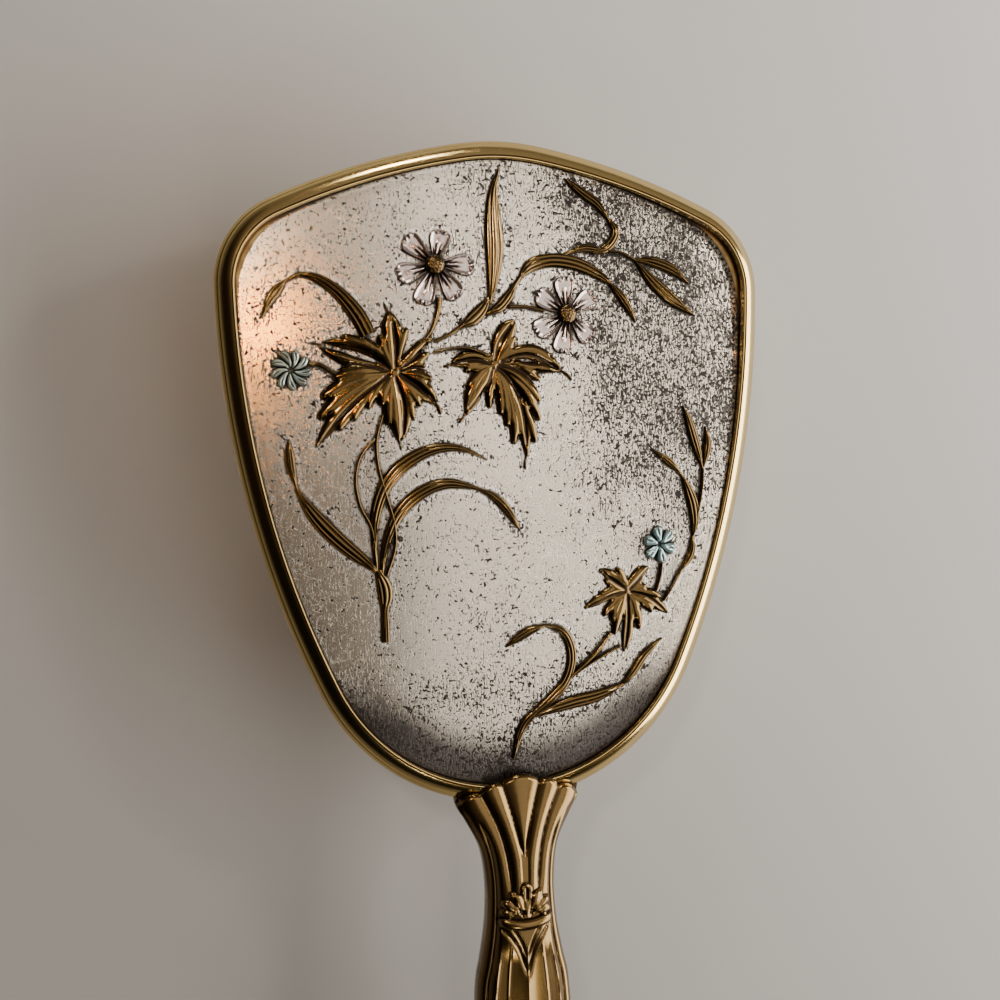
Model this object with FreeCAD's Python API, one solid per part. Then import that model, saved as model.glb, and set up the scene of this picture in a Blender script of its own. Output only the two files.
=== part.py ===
import FreeCAD, Part
import math
import os

# Vanity hairbrush: a shield-shaped head with a domed silvered back plate in a gilt rim, applied gilt
# leaves and flowers, a set of bristle tufts underneath, and a slim two-shell gilt handle on a steel tang.
# Millimetres. +X right, +Y from the handle to the head, +Z up out of the back. The bristle tips rest on
# z = 0 and the origin is under the middle of the whole brush. Plan places below are written with y
# measured from the head's far end, so they are negative towards the handle.

# ---- overall
LENGTH = 230.0
APEX_Y = LENGTH / 2
HEAD_LENGTH = 112.8

# ---- head outline: half of it, from the far end clockwise, as tangent arcs (radius, degrees turned)
HEAD_ARCS = [(42.3, 9.8), (123.9, 15.2), (15.7, 65.3), (164.6, 23.9)]

# ---- heights
TIP_Z = 0.0
FIELD_TIP_Z = 0.35
BLOCK_FACE_Z = 16.0
BLOCK_TOP_Z = 22.0
RIM_BOTTOM_Z = 17.6
RIM_TOP_Z = 27.4
LEDGE_TOP_Z = 24.9
LEDGE_THICKNESS = 0.8
HANDLE_MID_Z = 25.4

# ---- rim: a formed gilt channel with a half-round bead on top, a ledge inside and a crimped lip below,
# its outer face tapering in towards the bristles (inset from the head outline, z)
RIM_OUTSIDE = [(2.4, 17.6), (2.0, 18.3), (1.35, 22.0), (0.9, 23.6), (0.25, 24.5), (0.0, 25.4), (0.15, 26.3),
               (0.7, 27.0), (1.5, 27.4)]
RIM_INSIDE = [(3.2, 24.9), (3.2, 26.0), (2.6, 27.0), (1.7, 27.41)]
CHANNEL_INSET = 3.3
LEDGE_INSET = 4.8
LIP_INSET = 4.2
LIP_THICKNESS = 0.8

# ---- back plate
PLATE_INSET = 3.4
PLATE_THICKNESS = 0.7
DOME_TOP_Z = 28.8
DOME_CENTRE_Y = -54.0
DOME_SEMI_AXES = (118.0, 147.5, 40.0)

# ---- bristle block and tufts
GAP = 0.05
BLOCK_STEP_INSET = 4.4
TUFT_ROOT_Z = 19.5
TUFT_ROOT_R = 1.10
TUFT_TIP_R = 1.90
HOLE_CLEARANCE = 0.03
HOLE_END_Z = 20.3
ANCHOR_R = 0.3
ANCHOR_LENGTH = 1.9
BORDER_INSET = 9.0
BORDER_COUNT = 47
FIELD_INSET = 13.8
FIELD_PITCH = 6.2

# ---- tang and its screws
TANG_WIDTH = 5.0
TANG_THICKNESS = 1.8
TANG_MID_Z = 23.1
TANG_FROM_Y = -84.0
TANG_TO_Y = -205.0
SCREW_YS = [-89.0, -102.0]
SCREW_SHANK_R = 1.0
SCREW_HEAD_R = 1.9
SCREW_LENGTH = 3.6

# ---- handle: stations along its length (y, half width, back shell's height and front shell's depth at the seam)
HANDLE_STATIONS = [
    (-106.0, 11.6, 3.0, 5.6),
    (-112.0, 11.0, 3.3, 5.6),
    (-115.0, 9.45, 3.6, 5.3),
    (-120.0, 7.0, 4.0, 4.9),
    (-125.0, 6.15, 4.2, 4.7),
    (-130.0, 6.05, 4.3, 4.6),
    (-135.0, 6.5, 4.4, 4.6),
    (-140.0, 7.4, 4.5, 4.7),
    (-146.0, 8.4, 4.6, 4.8),
    (-165.0, 9.2, 4.6, 5.0),
    (-190.0, 10.0, 4.5, 5.0),
    (-208.0, 10.3, 4.2, 4.7),
    (-218.0, 9.4, 3.7, 4.2),
    (-225.0, 7.2, 2.9, 3.3),
    (-229.0, 3.8, 1.9, 2.1),
    (-230.0, 1.6, 1.3, 1.4),
]
SHELL_THICKNESS = 0.8
SIDE_WALL = 1.0
SEAM_GAP = 0.02
FAN_TOP_Z = 28.4
FAN_BASE_Z = 27.45
FAN_OUTLINE = [(-9.2, -114.5), (-8.6, -110.9), (-6.4, -110.0), (-6.2, -109.2), (-3.1, -108.8),
               (-2.6, -108.1), (0.3, -107.4), (3.2, -108.2), (3.6, -108.8), (6.4, -109.3),
               (7.0, -110.1), (8.9, -110.9), (9.2, -114.5)]
GROOVE_DEPTH = 0.5
GROOVE_HALF_WIDTH = 0.28
BAND_RISE = 0.7
BAND_Y = -132.6
BAND_HALF_LENGTH = 4.5
BAND_HALF_WIDTH = 0.85
# lines between the flutes and round the long panels, for one side of the handle (x, y)
HANDLE_GROOVES = [
    [(3.0, -109.0), (1.8, -113.0), (0.7, -117.5), (0.25, -121.0)],
    [(6.4, -110.0), (4.6, -114.0), (3.2, -119.0), (2.3, -126.0)],
    [(9.6, -112.2), (7.4, -115.6), (5.6, -120.0), (4.9, -126.0), (4.8, -131.0)],
    [(4.0, -134.2), (2.0, -136.4), (0.6, -140.0), (0.25, -146.0)],
    [(5.0, -134.5), (5.8, -140.0), (6.8, -147.0), (7.6, -165.0), (8.1, -190.0), (7.4, -209.0), (3.6, -222.0)],
]
BUD_SITES = [(-2.9, -129.0, 1.25), (-1.4, -130.6, 1.1), (0.2, -127.6, 1.3), (0.6, -130.1, 1.2),
             (2.2, -130.8, 1.1), (3.4, -129.0, 1.2)]
BUD_RISE = 0.6

# ---- applied ornament: heights over the plate
LEAF_RISE = 1.0
STEM_RISE = 0.7
PETAL_RISE = 0.8
BOSS_RISE = 1.6
ENAMEL_RISE = 1.0
SMALLEST_SCRAP = 0.4

# a leaf is a fan of fingers: (base x, base y, tip x, tip y, half width, sideways bend)
LEAF_LARGE = [
    (-19.3, -38.5, -20.6, -27.7, 1.35, -0.5), (-19.8, -37.0, -22.1, -32.3, 0.80, 0.2),
    (-19.0, -37.0, -16.8, -31.2, 0.95, 0.3), (-18.8, -38.2, -12.8, -33.4, 1.00, 0.4),
    (-18.8, -38.2, -13.2, -35.6, 0.95, 0.2), (-18.8, -38.4, -14.2, -38.0, 0.80, 0.1),
    (-18.9, -38.0, -15.7, -33.4, 0.80, 0.3), (-19.0, -38.6, -13.0, -40.4, 0.90, 0.5),
    (-19.0, -38.8, -12.3, -44.0, 1.10, 0.6), (-19.0, -39.0, -14.2, -44.4, 0.95, 0.4),
    (-19.2, -39.0, -16.1, -46.7, 0.95, 0.5), (-19.3, -39.0, -18.8, -51.4, 1.25, 0.2),
    (-19.6, -39.0, -20.8, -47.9, 1.00, -0.4), (-19.7, -39.0, -22.0, -44.5, 1.00, -0.5),
    (-20.3, -39.4, -24.2, -44.9, 0.85, -0.5), (-20.8, -39.6, -26.6, -46.7, 0.95, -0.6),
    (-21.5, -39.8, -29.1, -48.2, 1.00, -0.6), (-20.5, -39.0, -32.9, -51.2, 1.30, -1.3),
    (-23.5, -40.6, -32.6, -46.2, 1.00, -0.6), (-21.0, -39.0, -31.9, -43.0, 1.10, -0.8),
    (-20.2, -38.6, -29.9, -39.7, 1.00, -0.6), (-20.2, -38.1, -29.0, -37.1, 0.85, 0.3),
    (-20.3, -37.7, -28.9, -35.4, 0.90, 0.4), (-19.8, -38.0, -33.0, -33.6, 1.25, -0.4),
    (-20.6, -37.3, -27.2, -32.3, 1.10, -0.4), (-20.2, -37.2, -23.9, -32.8, 0.85, -0.2),
]
LEAF_MIDDLE = [
    (-2.6, -37.3, 1.3, -29.2, 1.45, 0.9), (-2.4, -37.0, 1.3, -32.8, 0.90, 0.3),
    (-2.4, -37.2, 4.5, -34.4, 1.00, 0.6), (-2.3, -37.3, 7.4, -35.9, 1.05, 0.7),
    (-2.3, -37.5, 9.3, -38.9, 1.10, 0.8), (-2.2, -37.7, 5.0, -39.4, 0.80, 0.4),
    (-2.3, -37.8, 5.4, -40.8, 1.00, 0.5), (-2.2, -38.2, 5.5, -44.1, 1.00, 0.9),
    (-0.8, -39.6, 5.3, -47.3, 1.00, 0.8), (0.8, -42.6, 4.3, -50.9, 0.95, 0.5),
    (-2.4, -38.0, 2.5, -54.4, 1.30, 1.2), (1.0, -43.4, 0.3, -51.1, 0.90, 0.4),
    (0.0, -41.6, -0.9, -48.5, 0.90, 0.3), (-1.6, -39.2, -2.0, -46.1, 0.85, 0.3),
    (-2.8, -38.2, -3.9, -45.0, 0.95, -0.2), (-3.2, -38.4, -6.2, -45.8, 0.85, -0.3),
    (-3.0, -38.0, -9.1, -48.3, 1.10, -0.7), (-3.4, -38.4, -8.2, -45.0, 0.85, -0.3),
    (-3.0, -37.7, -7.9, -41.6, 0.95, -0.4), (-3.0, -37.4, -8.3, -39.1, 0.80, -0.2),
    (-2.8, -37.1, -11.5, -37.6, 0.90, -0.6), (-3.0, -36.9, -10.0, -36.0, 0.85, -0.5),
]
LEAF_SMALL = [
    (20.5, -77.1, 14.6, -72.9, 0.90, -0.4), (20.4, -76.9, 18.6, -72.6, 0.85, -0.2),
    (20.2, -77.0, 15.8, -74.9, 0.60, 0.1), (20.6, -77.0, 25.2, -72.9, 1.00, 0.7),
    (20.8, -77.0, 23.6, -75.0, 0.60, 0.1), (20.8, -77.2, 24.3, -76.3, 0.70, 0.2),
    (20.9, -77.3, 27.4, -78.6, 0.80, 0.4), (20.9, -77.4, 29.0, -82.0, 1.00, 0.5),
    (20.9, -77.6, 25.5, -81.4, 0.80, 0.3), (20.7, -77.7, 22.9, -84.3, 0.95, 0.5),
    (20.5, -77.7, 19.8, -88.6, 1.15, 0.5), (20.2, -77.6, 17.8, -84.8, 0.90, -0.2),
    (20.0, -77.5, 17.3, -82.6, 0.80, -0.3), (19.9, -77.4, 15.7, -81.3, 0.80, -0.2),
    (20.0, -77.3, 11.7, -79.7, 0.95, -0.5), (20.2, -77.1, 15.3, -77.2, 0.80, -0.2),
]

# a blade or stem is a strip along its middle line: (x, y, half width)
BLADE_UPPER_LEFT = [
    [(-23.6, -32.4, 1.15), (-25.2, -29.2, 1.2), (-27.9, -25.8, 0.95), (-31.0, -23.5, 0.7),
     (-34.0, -22.7, 0.4), (-36.5, -23.8, 0.22)],
    [(-36.4, -23.7, 0.2), (-38.0, -25.4, 0.75), (-39.2, -27.1, 0.6), (-40.4, -29.7, 0.1)],
]
STEM_LEFT_FLOWER = [[(-11.7, -26.6, 0.45), (-12.1, -29.2, 0.42), (-13.2, -31.8, 0.32), (-14.3, -33.3, 0.25)]]
STEM_LEFT_ENAMEL = [[(-33.2, -37.1, 0.35), (-31.4, -37.3, 0.4), (-29.2, -38.8, 0.3)]]
STEM_MIDDLE_LEAF = [[(-4.0, -36.0, 0.35), (-6.8, -34.9, 0.3), (-10.0, -34.9, 0.25), (-13.0, -35.5, 0.2)]]
BRANCH_UPPER_RIGHT = [
    [(-12.7, -33.7, 0.3), (-10.3, -32.6, 0.3), (-8.2, -31.3, 0.35), (-6.4, -30.2, 0.95),
     (-4.6, -28.5, 0.9), (-3.3, -26.6, 0.3)],
    [(-0.4, -4.7, 0.1), (-1.7, -9.0, 0.75), (-1.9, -13.6, 1.25), (-1.9, -18.0, 1.4), (-2.3, -22.6, 1.0),
     (-3.1, -27.3, 0.3)],
    [(-3.8, -29.2, 0.3), (-1.7, -28.2, 0.75), (0.0, -26.4, 0.75), (1.4, -24.3, 0.4), (2.4, -22.9, 0.3)],
    [(2.3, -23.0, 0.3), (4.4, -21.0, 0.95), (8.0, -20.1, 1.05), (12.0, -20.5, 1.05), (15.7, -21.9, 0.85),
     (18.7, -23.9, 0.35)],
    [(18.5, -23.8, 0.3), (20.6, -26.1, 0.7), (22.0, -28.2, 0.6), (23.2, -30.6, 0.1)],
    [(9.6, -19.4, 0.25), (12.0, -18.5, 0.35), (14.0, -17.9, 0.65), (16.3, -18.1, 0.6)],
    [(15.6, -18.7, 0.3), (18.0, -17.9, 0.7), (19.6, -16.3, 0.75), (20.0, -14.6, 0.7), (18.8, -12.8, 0.3)],
    [(18.8, -12.8, 0.3), (16.8, -10.2, 0.7), (14.5, -8.6, 0.75), (12.5, -7.2, 0.5), (11.2, -6.1, 0.1)],
    [(18.5, -18.3, 0.25), (21.0, -18.6, 0.25), (23.7, -19.9, 0.25)],
    [(23.6, -19.8, 0.15), (26.8, -19.9, 0.8), (30.7, -21.2, 0.8), (34.0, -23.7, 0.1)],
    [(23.6, -20.0, 0.15), (26.8, -23.4, 0.95), (30.7, -26.6, 0.95), (34.9, -29.3, 0.1)],
    [(6.2, -28.7, 0.3), (3.3, -28.0, 0.3), (0.2, -28.0, 0.35)],
]
BRANCH_LOWER_LEFT = [
    [(-21.8, -45.6, 0.25), (-22.9, -49.6, 0.27), (-22.8, -53.6, 0.27), (-21.8, -58.0, 0.27),
     (-20.5, -63.0, 0.27), (-20.4, -67.2, 0.25), (-21.9, -71.8, 0.25)],
    [(-23.2, -49.4, 0.2), (-25.6, -52.2, 0.27), (-26.5, -56.0, 0.27), (-25.9, -60.2, 0.27),
     (-24.3, -63.6, 0.25), (-23.7, -67.0, 0.25)],
    [(-4.5, -53.4, 0.1), (-7.9, -51.7, 0.4), (-11.2, -51.1, 0.65), (-14.7, -51.7, 0.85),
     (-17.9, -53.3, 1.0), (-20.3, -55.3, 1.05), (-22.2, -58.0, 0.95), (-23.5, -62.0, 0.75),
     (-23.8, -66.3, 0.5), (-23.5, -70.8, 0.3)],
    [(0.95, -65.5, 0.1), (-1.0, -62.3, 0.65), (-3.5, -59.6, 0.6), (-6.2, -58.2, 0.22)],
    [(-6.0, -58.2, 0.22), (-8.1, -57.6, 0.5), (-10.9, -57.1, 0.75), (-13.6, -57.5, 0.85),
     (-16.4, -58.8, 0.95), (-18.8, -60.8, 0.95), (-20.4, -62.9, 0.85), (-21.7, -66.0, 0.65),
     (-22.4, -69.0, 0.5), (-22.7, -71.8, 0.3)],
    [(-23.2, -71.3, 0.3), (-26.2, -68.7, 0.9), (-29.0, -66.2, 1.1), (-31.7, -63.4, 1.15),
     (-33.9, -60.6, 0.9), (-35.6, -57.8, 0.4), (-36.1, -56.4, 0.2)],
    [(-36.0, -56.7, 0.2), (-36.7, -53.7, 0.65), (-36.9, -51.5, 0.65), (-36.9, -49.0, 0.1)],
    [(-23.4, -70.9, 0.5), (-22.4, -73.6, 1.05), (-22.2, -75.6, 1.0), (-22.4, -77.4, 0.6),
     (-22.4, -80.0, 0.6), (-22.4, -82.9, 0.65)],
]
BRANCH_SMALL = [
    [(-0.7, -105.0, 0.25), (0.1, -101.5, 0.55), (1.3, -98.9, 0.7), (3.4, -96.9, 0.6)],
    [(3.0, -97.2, 0.5), (6.6, -94.6, 0.85), (8.9, -91.9, 0.75), (9.9, -88.6, 0.75), (9.5, -85.4, 0.75),
     (7.9, -83.0, 0.6), (4.9, -82.0, 0.22)],
    [(5.1, -82.0, 0.22), (2.9, -82.6, 0.6), (0.5, -83.7, 0.7), (-2.0, -85.3, 0.1)],
    [(9.4, -91.6, 0.3), (14.0, -87.9, 0.4), (17.2, -84.3, 0.35)],
    [(9.4, -91.7, 0.2), (14.0, -89.0, 0.25), (19.0, -86.8, 0.25)],
    [(2.6, -97.8, 0.35), (6.5, -96.8, 0.75), (10.5, -96.0, 1.0), (15.0, -95.3, 0.9), (19.7, -93.6, 0.3)],
    [(19.6, -93.7, 0.3), (21.8, -91.4, 0.7), (24.0, -88.6, 0.65), (27.2, -86.1, 0.1)],
]
BRANCH_SMALL_RIGHT = [
    [(27.4, -79.4, 0.25), (29.2, -77.0, 0.22), (31.0, -74.0, 0.25)],
    [(30.9, -74.2, 0.2), (32.6, -72.2, 0.65), (33.3, -70.4, 0.6), (33.3, -68.2, 0.2)],
    [(33.4, -68.4, 0.2), (33.9, -65.6, 0.75), (33.6, -62.6, 0.95), (32.6, -59.8, 0.7), (31.5, -57.6, 0.25)],
    [(31.6, -57.8, 0.25), (30.6, -56.4, 0.35), (28.6, -54.7, 0.65), (25.6, -52.5, 0.1)],
    [(33.5, -68.0, 0.22), (34.5, -63.6, 0.22), (35.3, -60.0, 0.22), (35.6, -56.4, 0.22)],
    [(35.6, -56.4, 0.15), (34.3, -52.0, 0.75), (33.1, -48.2, 0.65), (31.9, -45.1, 0.1)],
    [(35.6, -56.4, 0.15), (36.6, -53.0, 0.7), (36.7, -50.8, 0.5), (36.3, -48.8, 0.1)],
]
STEM_RIGHT_ENAMEL = [[(27.1, -72.7, 0.3), (26.8, -74.8, 0.3), (26.0, -77.4, 0.25)]]

# flowers: middle, then each petal's (degrees from +X, length)
SILVER_LEFT = (-12.2, -21.1, [(78, 5.9), (3, 6.6), (307, 6.6), (252, 7.0), (199, 6.5), (139, 6.5)])
SILVER_RIGHT = (10.4, -29.2, [(96, 6.4), (35, 6.1), (318, 6.1), (262, 6.7), (211, 6.6), (149, 6.3)])
PETAL_HALF_WIDTH = 1.7
BOSS_R = 1.6
ENAMEL_LEFT = (-36.1, -38.0, 3.1, 9)
ENAMEL_RIGHT = (26.7, -69.3, 3.2, 5)


def vec(x, y, z=0.0):
    return FreeCAD.Vector(x, y + APEX_Y, z)


def moved(shape, dz):
    copy = shape.copy()
    copy.translate(FreeCAD.Vector(0, 0, dz))
    return copy


# ---- head outline

def head_arcs():
    """The half outline as (centre x, centre y, radius, start angle, end angle), angles clockwise."""
    arcs = []
    x, y, turned = 0.0, 0.0, 0.0
    for radius, degrees in HEAD_ARCS + [(None, None)]:
        if radius is None:
            radius = x / math.sin(turned)
            end = math.pi
        else:
            end = turned + math.radians(degrees)
        cx = x - radius * math.sin(turned)
        cy = y - radius * math.cos(turned)
        arcs.append((cx, cy, radius, turned, end))
        x = cx + radius * math.sin(end)
        y = cy + radius * math.cos(end)
        turned = end
    return arcs


def head_wire(inset, z):
    """The closed head outline moved inwards by inset."""
    half = []
    for cx, cy, radius, start, end in head_arcs():
        r = radius - inset
        points = []
        for angle in (start, (start + end) / 2, end):
            px = cx + r * math.sin(angle)
            py = cy + r * math.cos(angle)
            points.append((px, py))
        half.append(points)
    other = [[(-px, py) for px, py in reversed(points)] for points in reversed(half)]
    edges = []
    for points in half + other:
        edges.append(Part.Arc(*[vec(px, py, z) for px, py in points]).toShape())
    return Part.Wire(edges)


def head_slab(inset, z0, z1):
    return Part.Face(head_wire(inset, z0)).extrude(FreeCAD.Vector(0, 0, z1 - z0))


def head_loft(profile):
    """A solid through (inset, z) pairs, straight between them."""
    return Part.makeLoft([head_wire(inset, z) for inset, z in profile], True, True)


def dome(lowered=0.0):
    """The shallow ellipsoid whose top is the plate's crown, or that crown lowered."""
    scaling = FreeCAD.Matrix()
    scaling.scale(FreeCAD.Vector(*DOME_SEMI_AXES))
    body = Part.makeSphere(1.0).transformGeometry(scaling)
    body.translate(vec(0, DOME_CENTRE_Y, DOME_TOP_Z - DOME_SEMI_AXES[2] - lowered))
    return body


# ---- head parts

def make_back_plate():
    column = head_slab(PLATE_INSET, LEDGE_TOP_Z, DOME_TOP_Z + 1.0)
    return column.common(dome()).cut(dome(PLATE_THICKNESS))


def tang_box(y0, y1, grow):
    width = TANG_WIDTH + 2 * grow
    height = TANG_THICKNESS + 2 * grow
    corner = FreeCAD.Vector(-width / 2, y1 + APEX_Y, TANG_MID_Z - height / 2)
    return Part.makeBox(width, y0 - y1, height, corner)


def make_rim():
    body = head_loft(RIM_OUTSIDE)
    ledge_under = LEDGE_TOP_Z - LEDGE_THICKNESS
    channel = head_slab(CHANNEL_INSET, RIM_BOTTOM_Z + LIP_THICKNESS, ledge_under)
    lip_hole = head_slab(LIP_INSET, RIM_BOTTOM_Z - 1.0, RIM_BOTTOM_Z + LIP_THICKNESS + 0.1)
    ledge_hole = head_slab(LEDGE_INSET, ledge_under - 0.1, LEDGE_TOP_Z + 0.1)
    slot = tang_box(-HEAD_LENGTH + 8.0, -HEAD_LENGTH - 2.0, GAP)
    for cutter in (head_loft(RIM_INSIDE), channel, lip_hole, ledge_hole, slot):
        body = body.cut(cutter)
    return body


def make_head_core():
    """The wooden board between bristle block and plate, crowned to back the plate all over."""
    ledge_under = LEDGE_TOP_Z - LEDGE_THICKNESS
    board = head_slab(CHANNEL_INSET + GAP, BLOCK_TOP_Z + GAP, ledge_under - GAP)
    column = head_slab(LEDGE_INSET + GAP, ledge_under - GAP, DOME_TOP_Z)
    core = board.fuse(column.common(dome(PLATE_THICKNESS + GAP))).removeSplitter()
    core = core.cut(tang_box(TANG_FROM_Y + GAP, -HEAD_LENGTH - 2.0, GAP))
    core = core.cut(Part.makeBox(TANG_WIDTH + 2 * GAP, HEAD_LENGTH + TANG_FROM_Y + 2.0 + GAP, 1.0,
                                 vec(-TANG_WIDTH / 2 - GAP, -HEAD_LENGTH - 2.0, BLOCK_TOP_Z)))
    for screw in make_tang_screws(GAP).Solids:
        core = core.cut(screw)
    return core


def make_bristle_block():
    flange = head_slab(CHANNEL_INSET + GAP, RIM_BOTTOM_Z + LIP_THICKNESS + GAP, BLOCK_TOP_Z - GAP)
    face = head_loft([(BLOCK_STEP_INSET + 0.8, BLOCK_FACE_Z), (BLOCK_STEP_INSET, BLOCK_FACE_Z + 0.8),
                      (BLOCK_STEP_INSET, RIM_BOTTOM_Z + LIP_THICKNESS + GAP)])
    holes = []
    for x, y in border_sites() + field_sites():
        holes.append(tuft_cone(x, y, TIP_Z, HOLE_CLEARANCE, HOLE_END_Z - TUFT_ROOT_Z))
    return flange.fuse(face).removeSplitter().cut(Part.makeCompound(holes))


# ---- bristles

def border_sites():
    """Tuft places evenly round the head, one row in from the block's edge."""
    points = head_wire(BORDER_INSET, 0).discretize(Number=BORDER_COUNT + 1)
    return [(p.x, p.y - APEX_Y) for p in points[:-1]]


def field_sites():
    """Staggered rows inside the border row."""
    face = Part.Face(head_wire(FIELD_INSET, 0))
    row_step = FIELD_PITCH * math.sqrt(3) / 2
    sites = []
    for row in range(-12, 13):
        for column in range(-12, 13):
            x = FIELD_PITCH * (column + 0.5 * (row % 2))
            y = DOME_CENTRE_Y + row * row_step
            if face.isInside(vec(x, y), 0.001, False):
                sites.append((x, y))
    return sites


def tuft_cone(x, y, tip_z, grow=0.0, deeper=0.0):
    """A tuft: narrow where it is set in the block, spread at its trimmed tip."""
    slope = (TUFT_TIP_R - TUFT_ROOT_R) / (TUFT_ROOT_Z - TIP_Z)
    top_z = TUFT_ROOT_Z + deeper
    tip_r = TUFT_ROOT_R + slope * (TUFT_ROOT_Z - tip_z) + grow
    top_r = TUFT_ROOT_R - slope * deeper + grow
    return Part.makeCone(tip_r, top_r, top_z - tip_z, vec(x, y, tip_z))


def make_tufts(sites, tip_z):
    return Part.makeCompound([tuft_cone(x, y, tip_z) for x, y in sites])


def make_tuft_anchors():
    """The short wires that each folded tuft is drawn round, one at the bottom of every hole."""
    z = TUFT_ROOT_Z + ANCHOR_R + 0.05
    anchors = []
    for x, y in border_sites() + field_sites():
        anchors.append(Part.makeCylinder(ANCHOR_R, ANCHOR_LENGTH, vec(x - ANCHOR_LENGTH / 2, y, z),
                                         FreeCAD.Vector(1, 0, 0)))
    return Part.makeCompound(anchors)


# ---- tang and screws

def tang_screw(y, grow):
    seat = TANG_MID_Z - TANG_THICKNESS / 2
    head = Part.makeCone(SCREW_HEAD_R + grow, SCREW_SHANK_R + grow, 1.0, vec(0, y, seat))
    shank = Part.makeCylinder(SCREW_SHANK_R + grow, SCREW_LENGTH + grow, vec(0, y, seat))
    return head.fuse(shank).removeSplitter()


def make_tang_screws(grow=0.0):
    return Part.makeCompound([tang_screw(y, grow) for y in SCREW_YS])


def make_tang():
    tang = tang_box(TANG_FROM_Y, TANG_TO_Y, 0.0)
    for screw in make_tang_screws(GAP / 2).Solids:
        tang = tang.cut(screw)
    return tang


# ---- handle

def handle_section(y, half_width, height, side):
    """One cross-section: a short upright wall each side, joined by a crowned arc."""
    wall = min(SIDE_WALL, height / 2)
    seam = HANDLE_MID_Z + side * SEAM_GAP
    wall_z = HANDLE_MID_Z + side * wall
    left, right = vec(-half_width, y, seam), vec(half_width, y, seam)
    left_top, right_top = vec(-half_width, y, wall_z), vec(half_width, y, wall_z)
    crown = Part.Arc(left_top, vec(0, y, HANDLE_MID_Z + side * height), right_top).toShape()
    return Part.Wire([Part.makeLine(left, left_top), crown, Part.makeLine(right_top, right),
                      Part.makeLine(right, left)])


def handle_half(side, shrink):
    """Half of the handle, solid, made smaller all round by shrink."""
    wires = []
    for y, half_width, back, front in HANDLE_STATIONS:
        if shrink and half_width < 3 * shrink:
            continue
        height = back if side > 0 else front
        wires.append(handle_section(y, half_width - shrink, height - shrink, side))
    return Part.makeLoft(wires, True, False)


def strip_face(spine):
    """A flat strip along a smooth middle line of (x, y, half width) points."""
    sides = [[], []]
    for i, (x, y, half) in enumerate(spine):
        x0, y0, _ = spine[max(i - 1, 0)]
        x1, y1, _ = spine[min(i + 1, len(spine) - 1)]
        length = math.hypot(x1 - x0, y1 - y0)
        nx, ny = -(y1 - y0) / length, (x1 - x0) / length
        sides[0].append(vec(x + nx * half, y + ny * half))
        sides[1].append(vec(x - nx * half, y - ny * half))
    edges = []
    for points in sides:
        curve = Part.BSplineCurve()
        curve.interpolate(points)
        edges.append(curve.toShape())
    start = Part.makeLine(sides[1][0], sides[0][0])
    end = Part.makeLine(sides[0][-1], sides[1][-1])
    return Part.Face(Part.Wire([edges[0], end, edges[1], start]))


def upright(face, z0, z1):
    prism = face.extrude(FreeCAD.Vector(0, 0, z1 - z0))
    return moved(prism, z0)


def make_back_shell():
    outer = handle_half(1, 0.0)
    fan = Part.makePolygon([vec(x, y, FAN_BASE_Z) for x, y in FAN_OUTLINE + FAN_OUTLINE[:1]])
    fan_plate = Part.Face(fan).extrude(FreeCAD.Vector(0, 0, FAN_TOP_Z - FAN_BASE_Z))
    band = upright(strip_face([(-BAND_HALF_LENGTH, BAND_Y, BAND_HALF_WIDTH),
                               (0.0, BAND_Y - 0.3, BAND_HALF_WIDTH),
                               (BAND_HALF_LENGTH, BAND_Y, BAND_HALF_WIDTH)]),
                   HANDLE_MID_Z + 2.0, HANDLE_MID_Z + 8.0).common(moved(outer, BAND_RISE))
    shell = outer.cut(handle_half(1, SHELL_THICKNESS)).cut(head_slab(-GAP, 0.0, FAN_BASE_Z))
    shell = shell.common(handle_plan_limit())
    lowered = moved(outer, -GROOVE_DEPTH)
    for half_line in HANDLE_GROOVES:
        for mirror in (1, -1):
            spine = [(mirror * x, y, GROOVE_HALF_WIDTH) for x, y in half_line]
            groove = upright(strip_face(spine), HANDLE_MID_Z + 1.5, HANDLE_MID_Z + 8.0)
            shell = shell.cut(groove.cut(lowered))
    shell = shell.fuse(fan_plate).fuse(band)
    for x, y, radius in BUD_SITES:
        bud = Part.makeCylinder(radius, 8.0, vec(x, y, HANDLE_MID_Z + 2.0))
        shell = shell.fuse(bud.common(moved(outer, BUD_RISE)))
    return shell.removeSplitter()


def handle_plan_limit():
    """Everything on the handle's side of the head's far fan corners."""
    return Part.makeBox(60.0, LENGTH, 60.0, vec(-30.0, -111.0 - LENGTH, 0.0))


def make_front_shell():
    shell = handle_half(-1, 0.0).cut(handle_half(-1, SHELL_THICKNESS)).cut(head_slab(-GAP, 0.0, 60.0))
    return shell.common(handle_plan_limit())


def make_handle_filler():
    """Setting pitch that fills the shells round the tang."""
    inside = SHELL_THICKNESS + GAP
    filler = handle_half(1, inside).fuse(handle_half(-1, inside))
    seam = Part.makeBox(12.0, 110.0, 0.2, vec(-6.0, -224.0, HANDLE_MID_Z - 0.1))
    filler = filler.fuse(seam.common(handle_seam_plan()))
    filler = filler.cut(head_slab(-GAP, 0.0, 60.0)).common(handle_plan_limit())
    return filler.cut(tang_box(-100.0, TANG_TO_Y - GAP, GAP)).removeSplitter()


def handle_seam_plan():
    return Part.makeBox(10.0, 112.0, 1.0, vec(-5.0, -222.0, HANDLE_MID_Z - 0.5))


# ---- applied ornament

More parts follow.
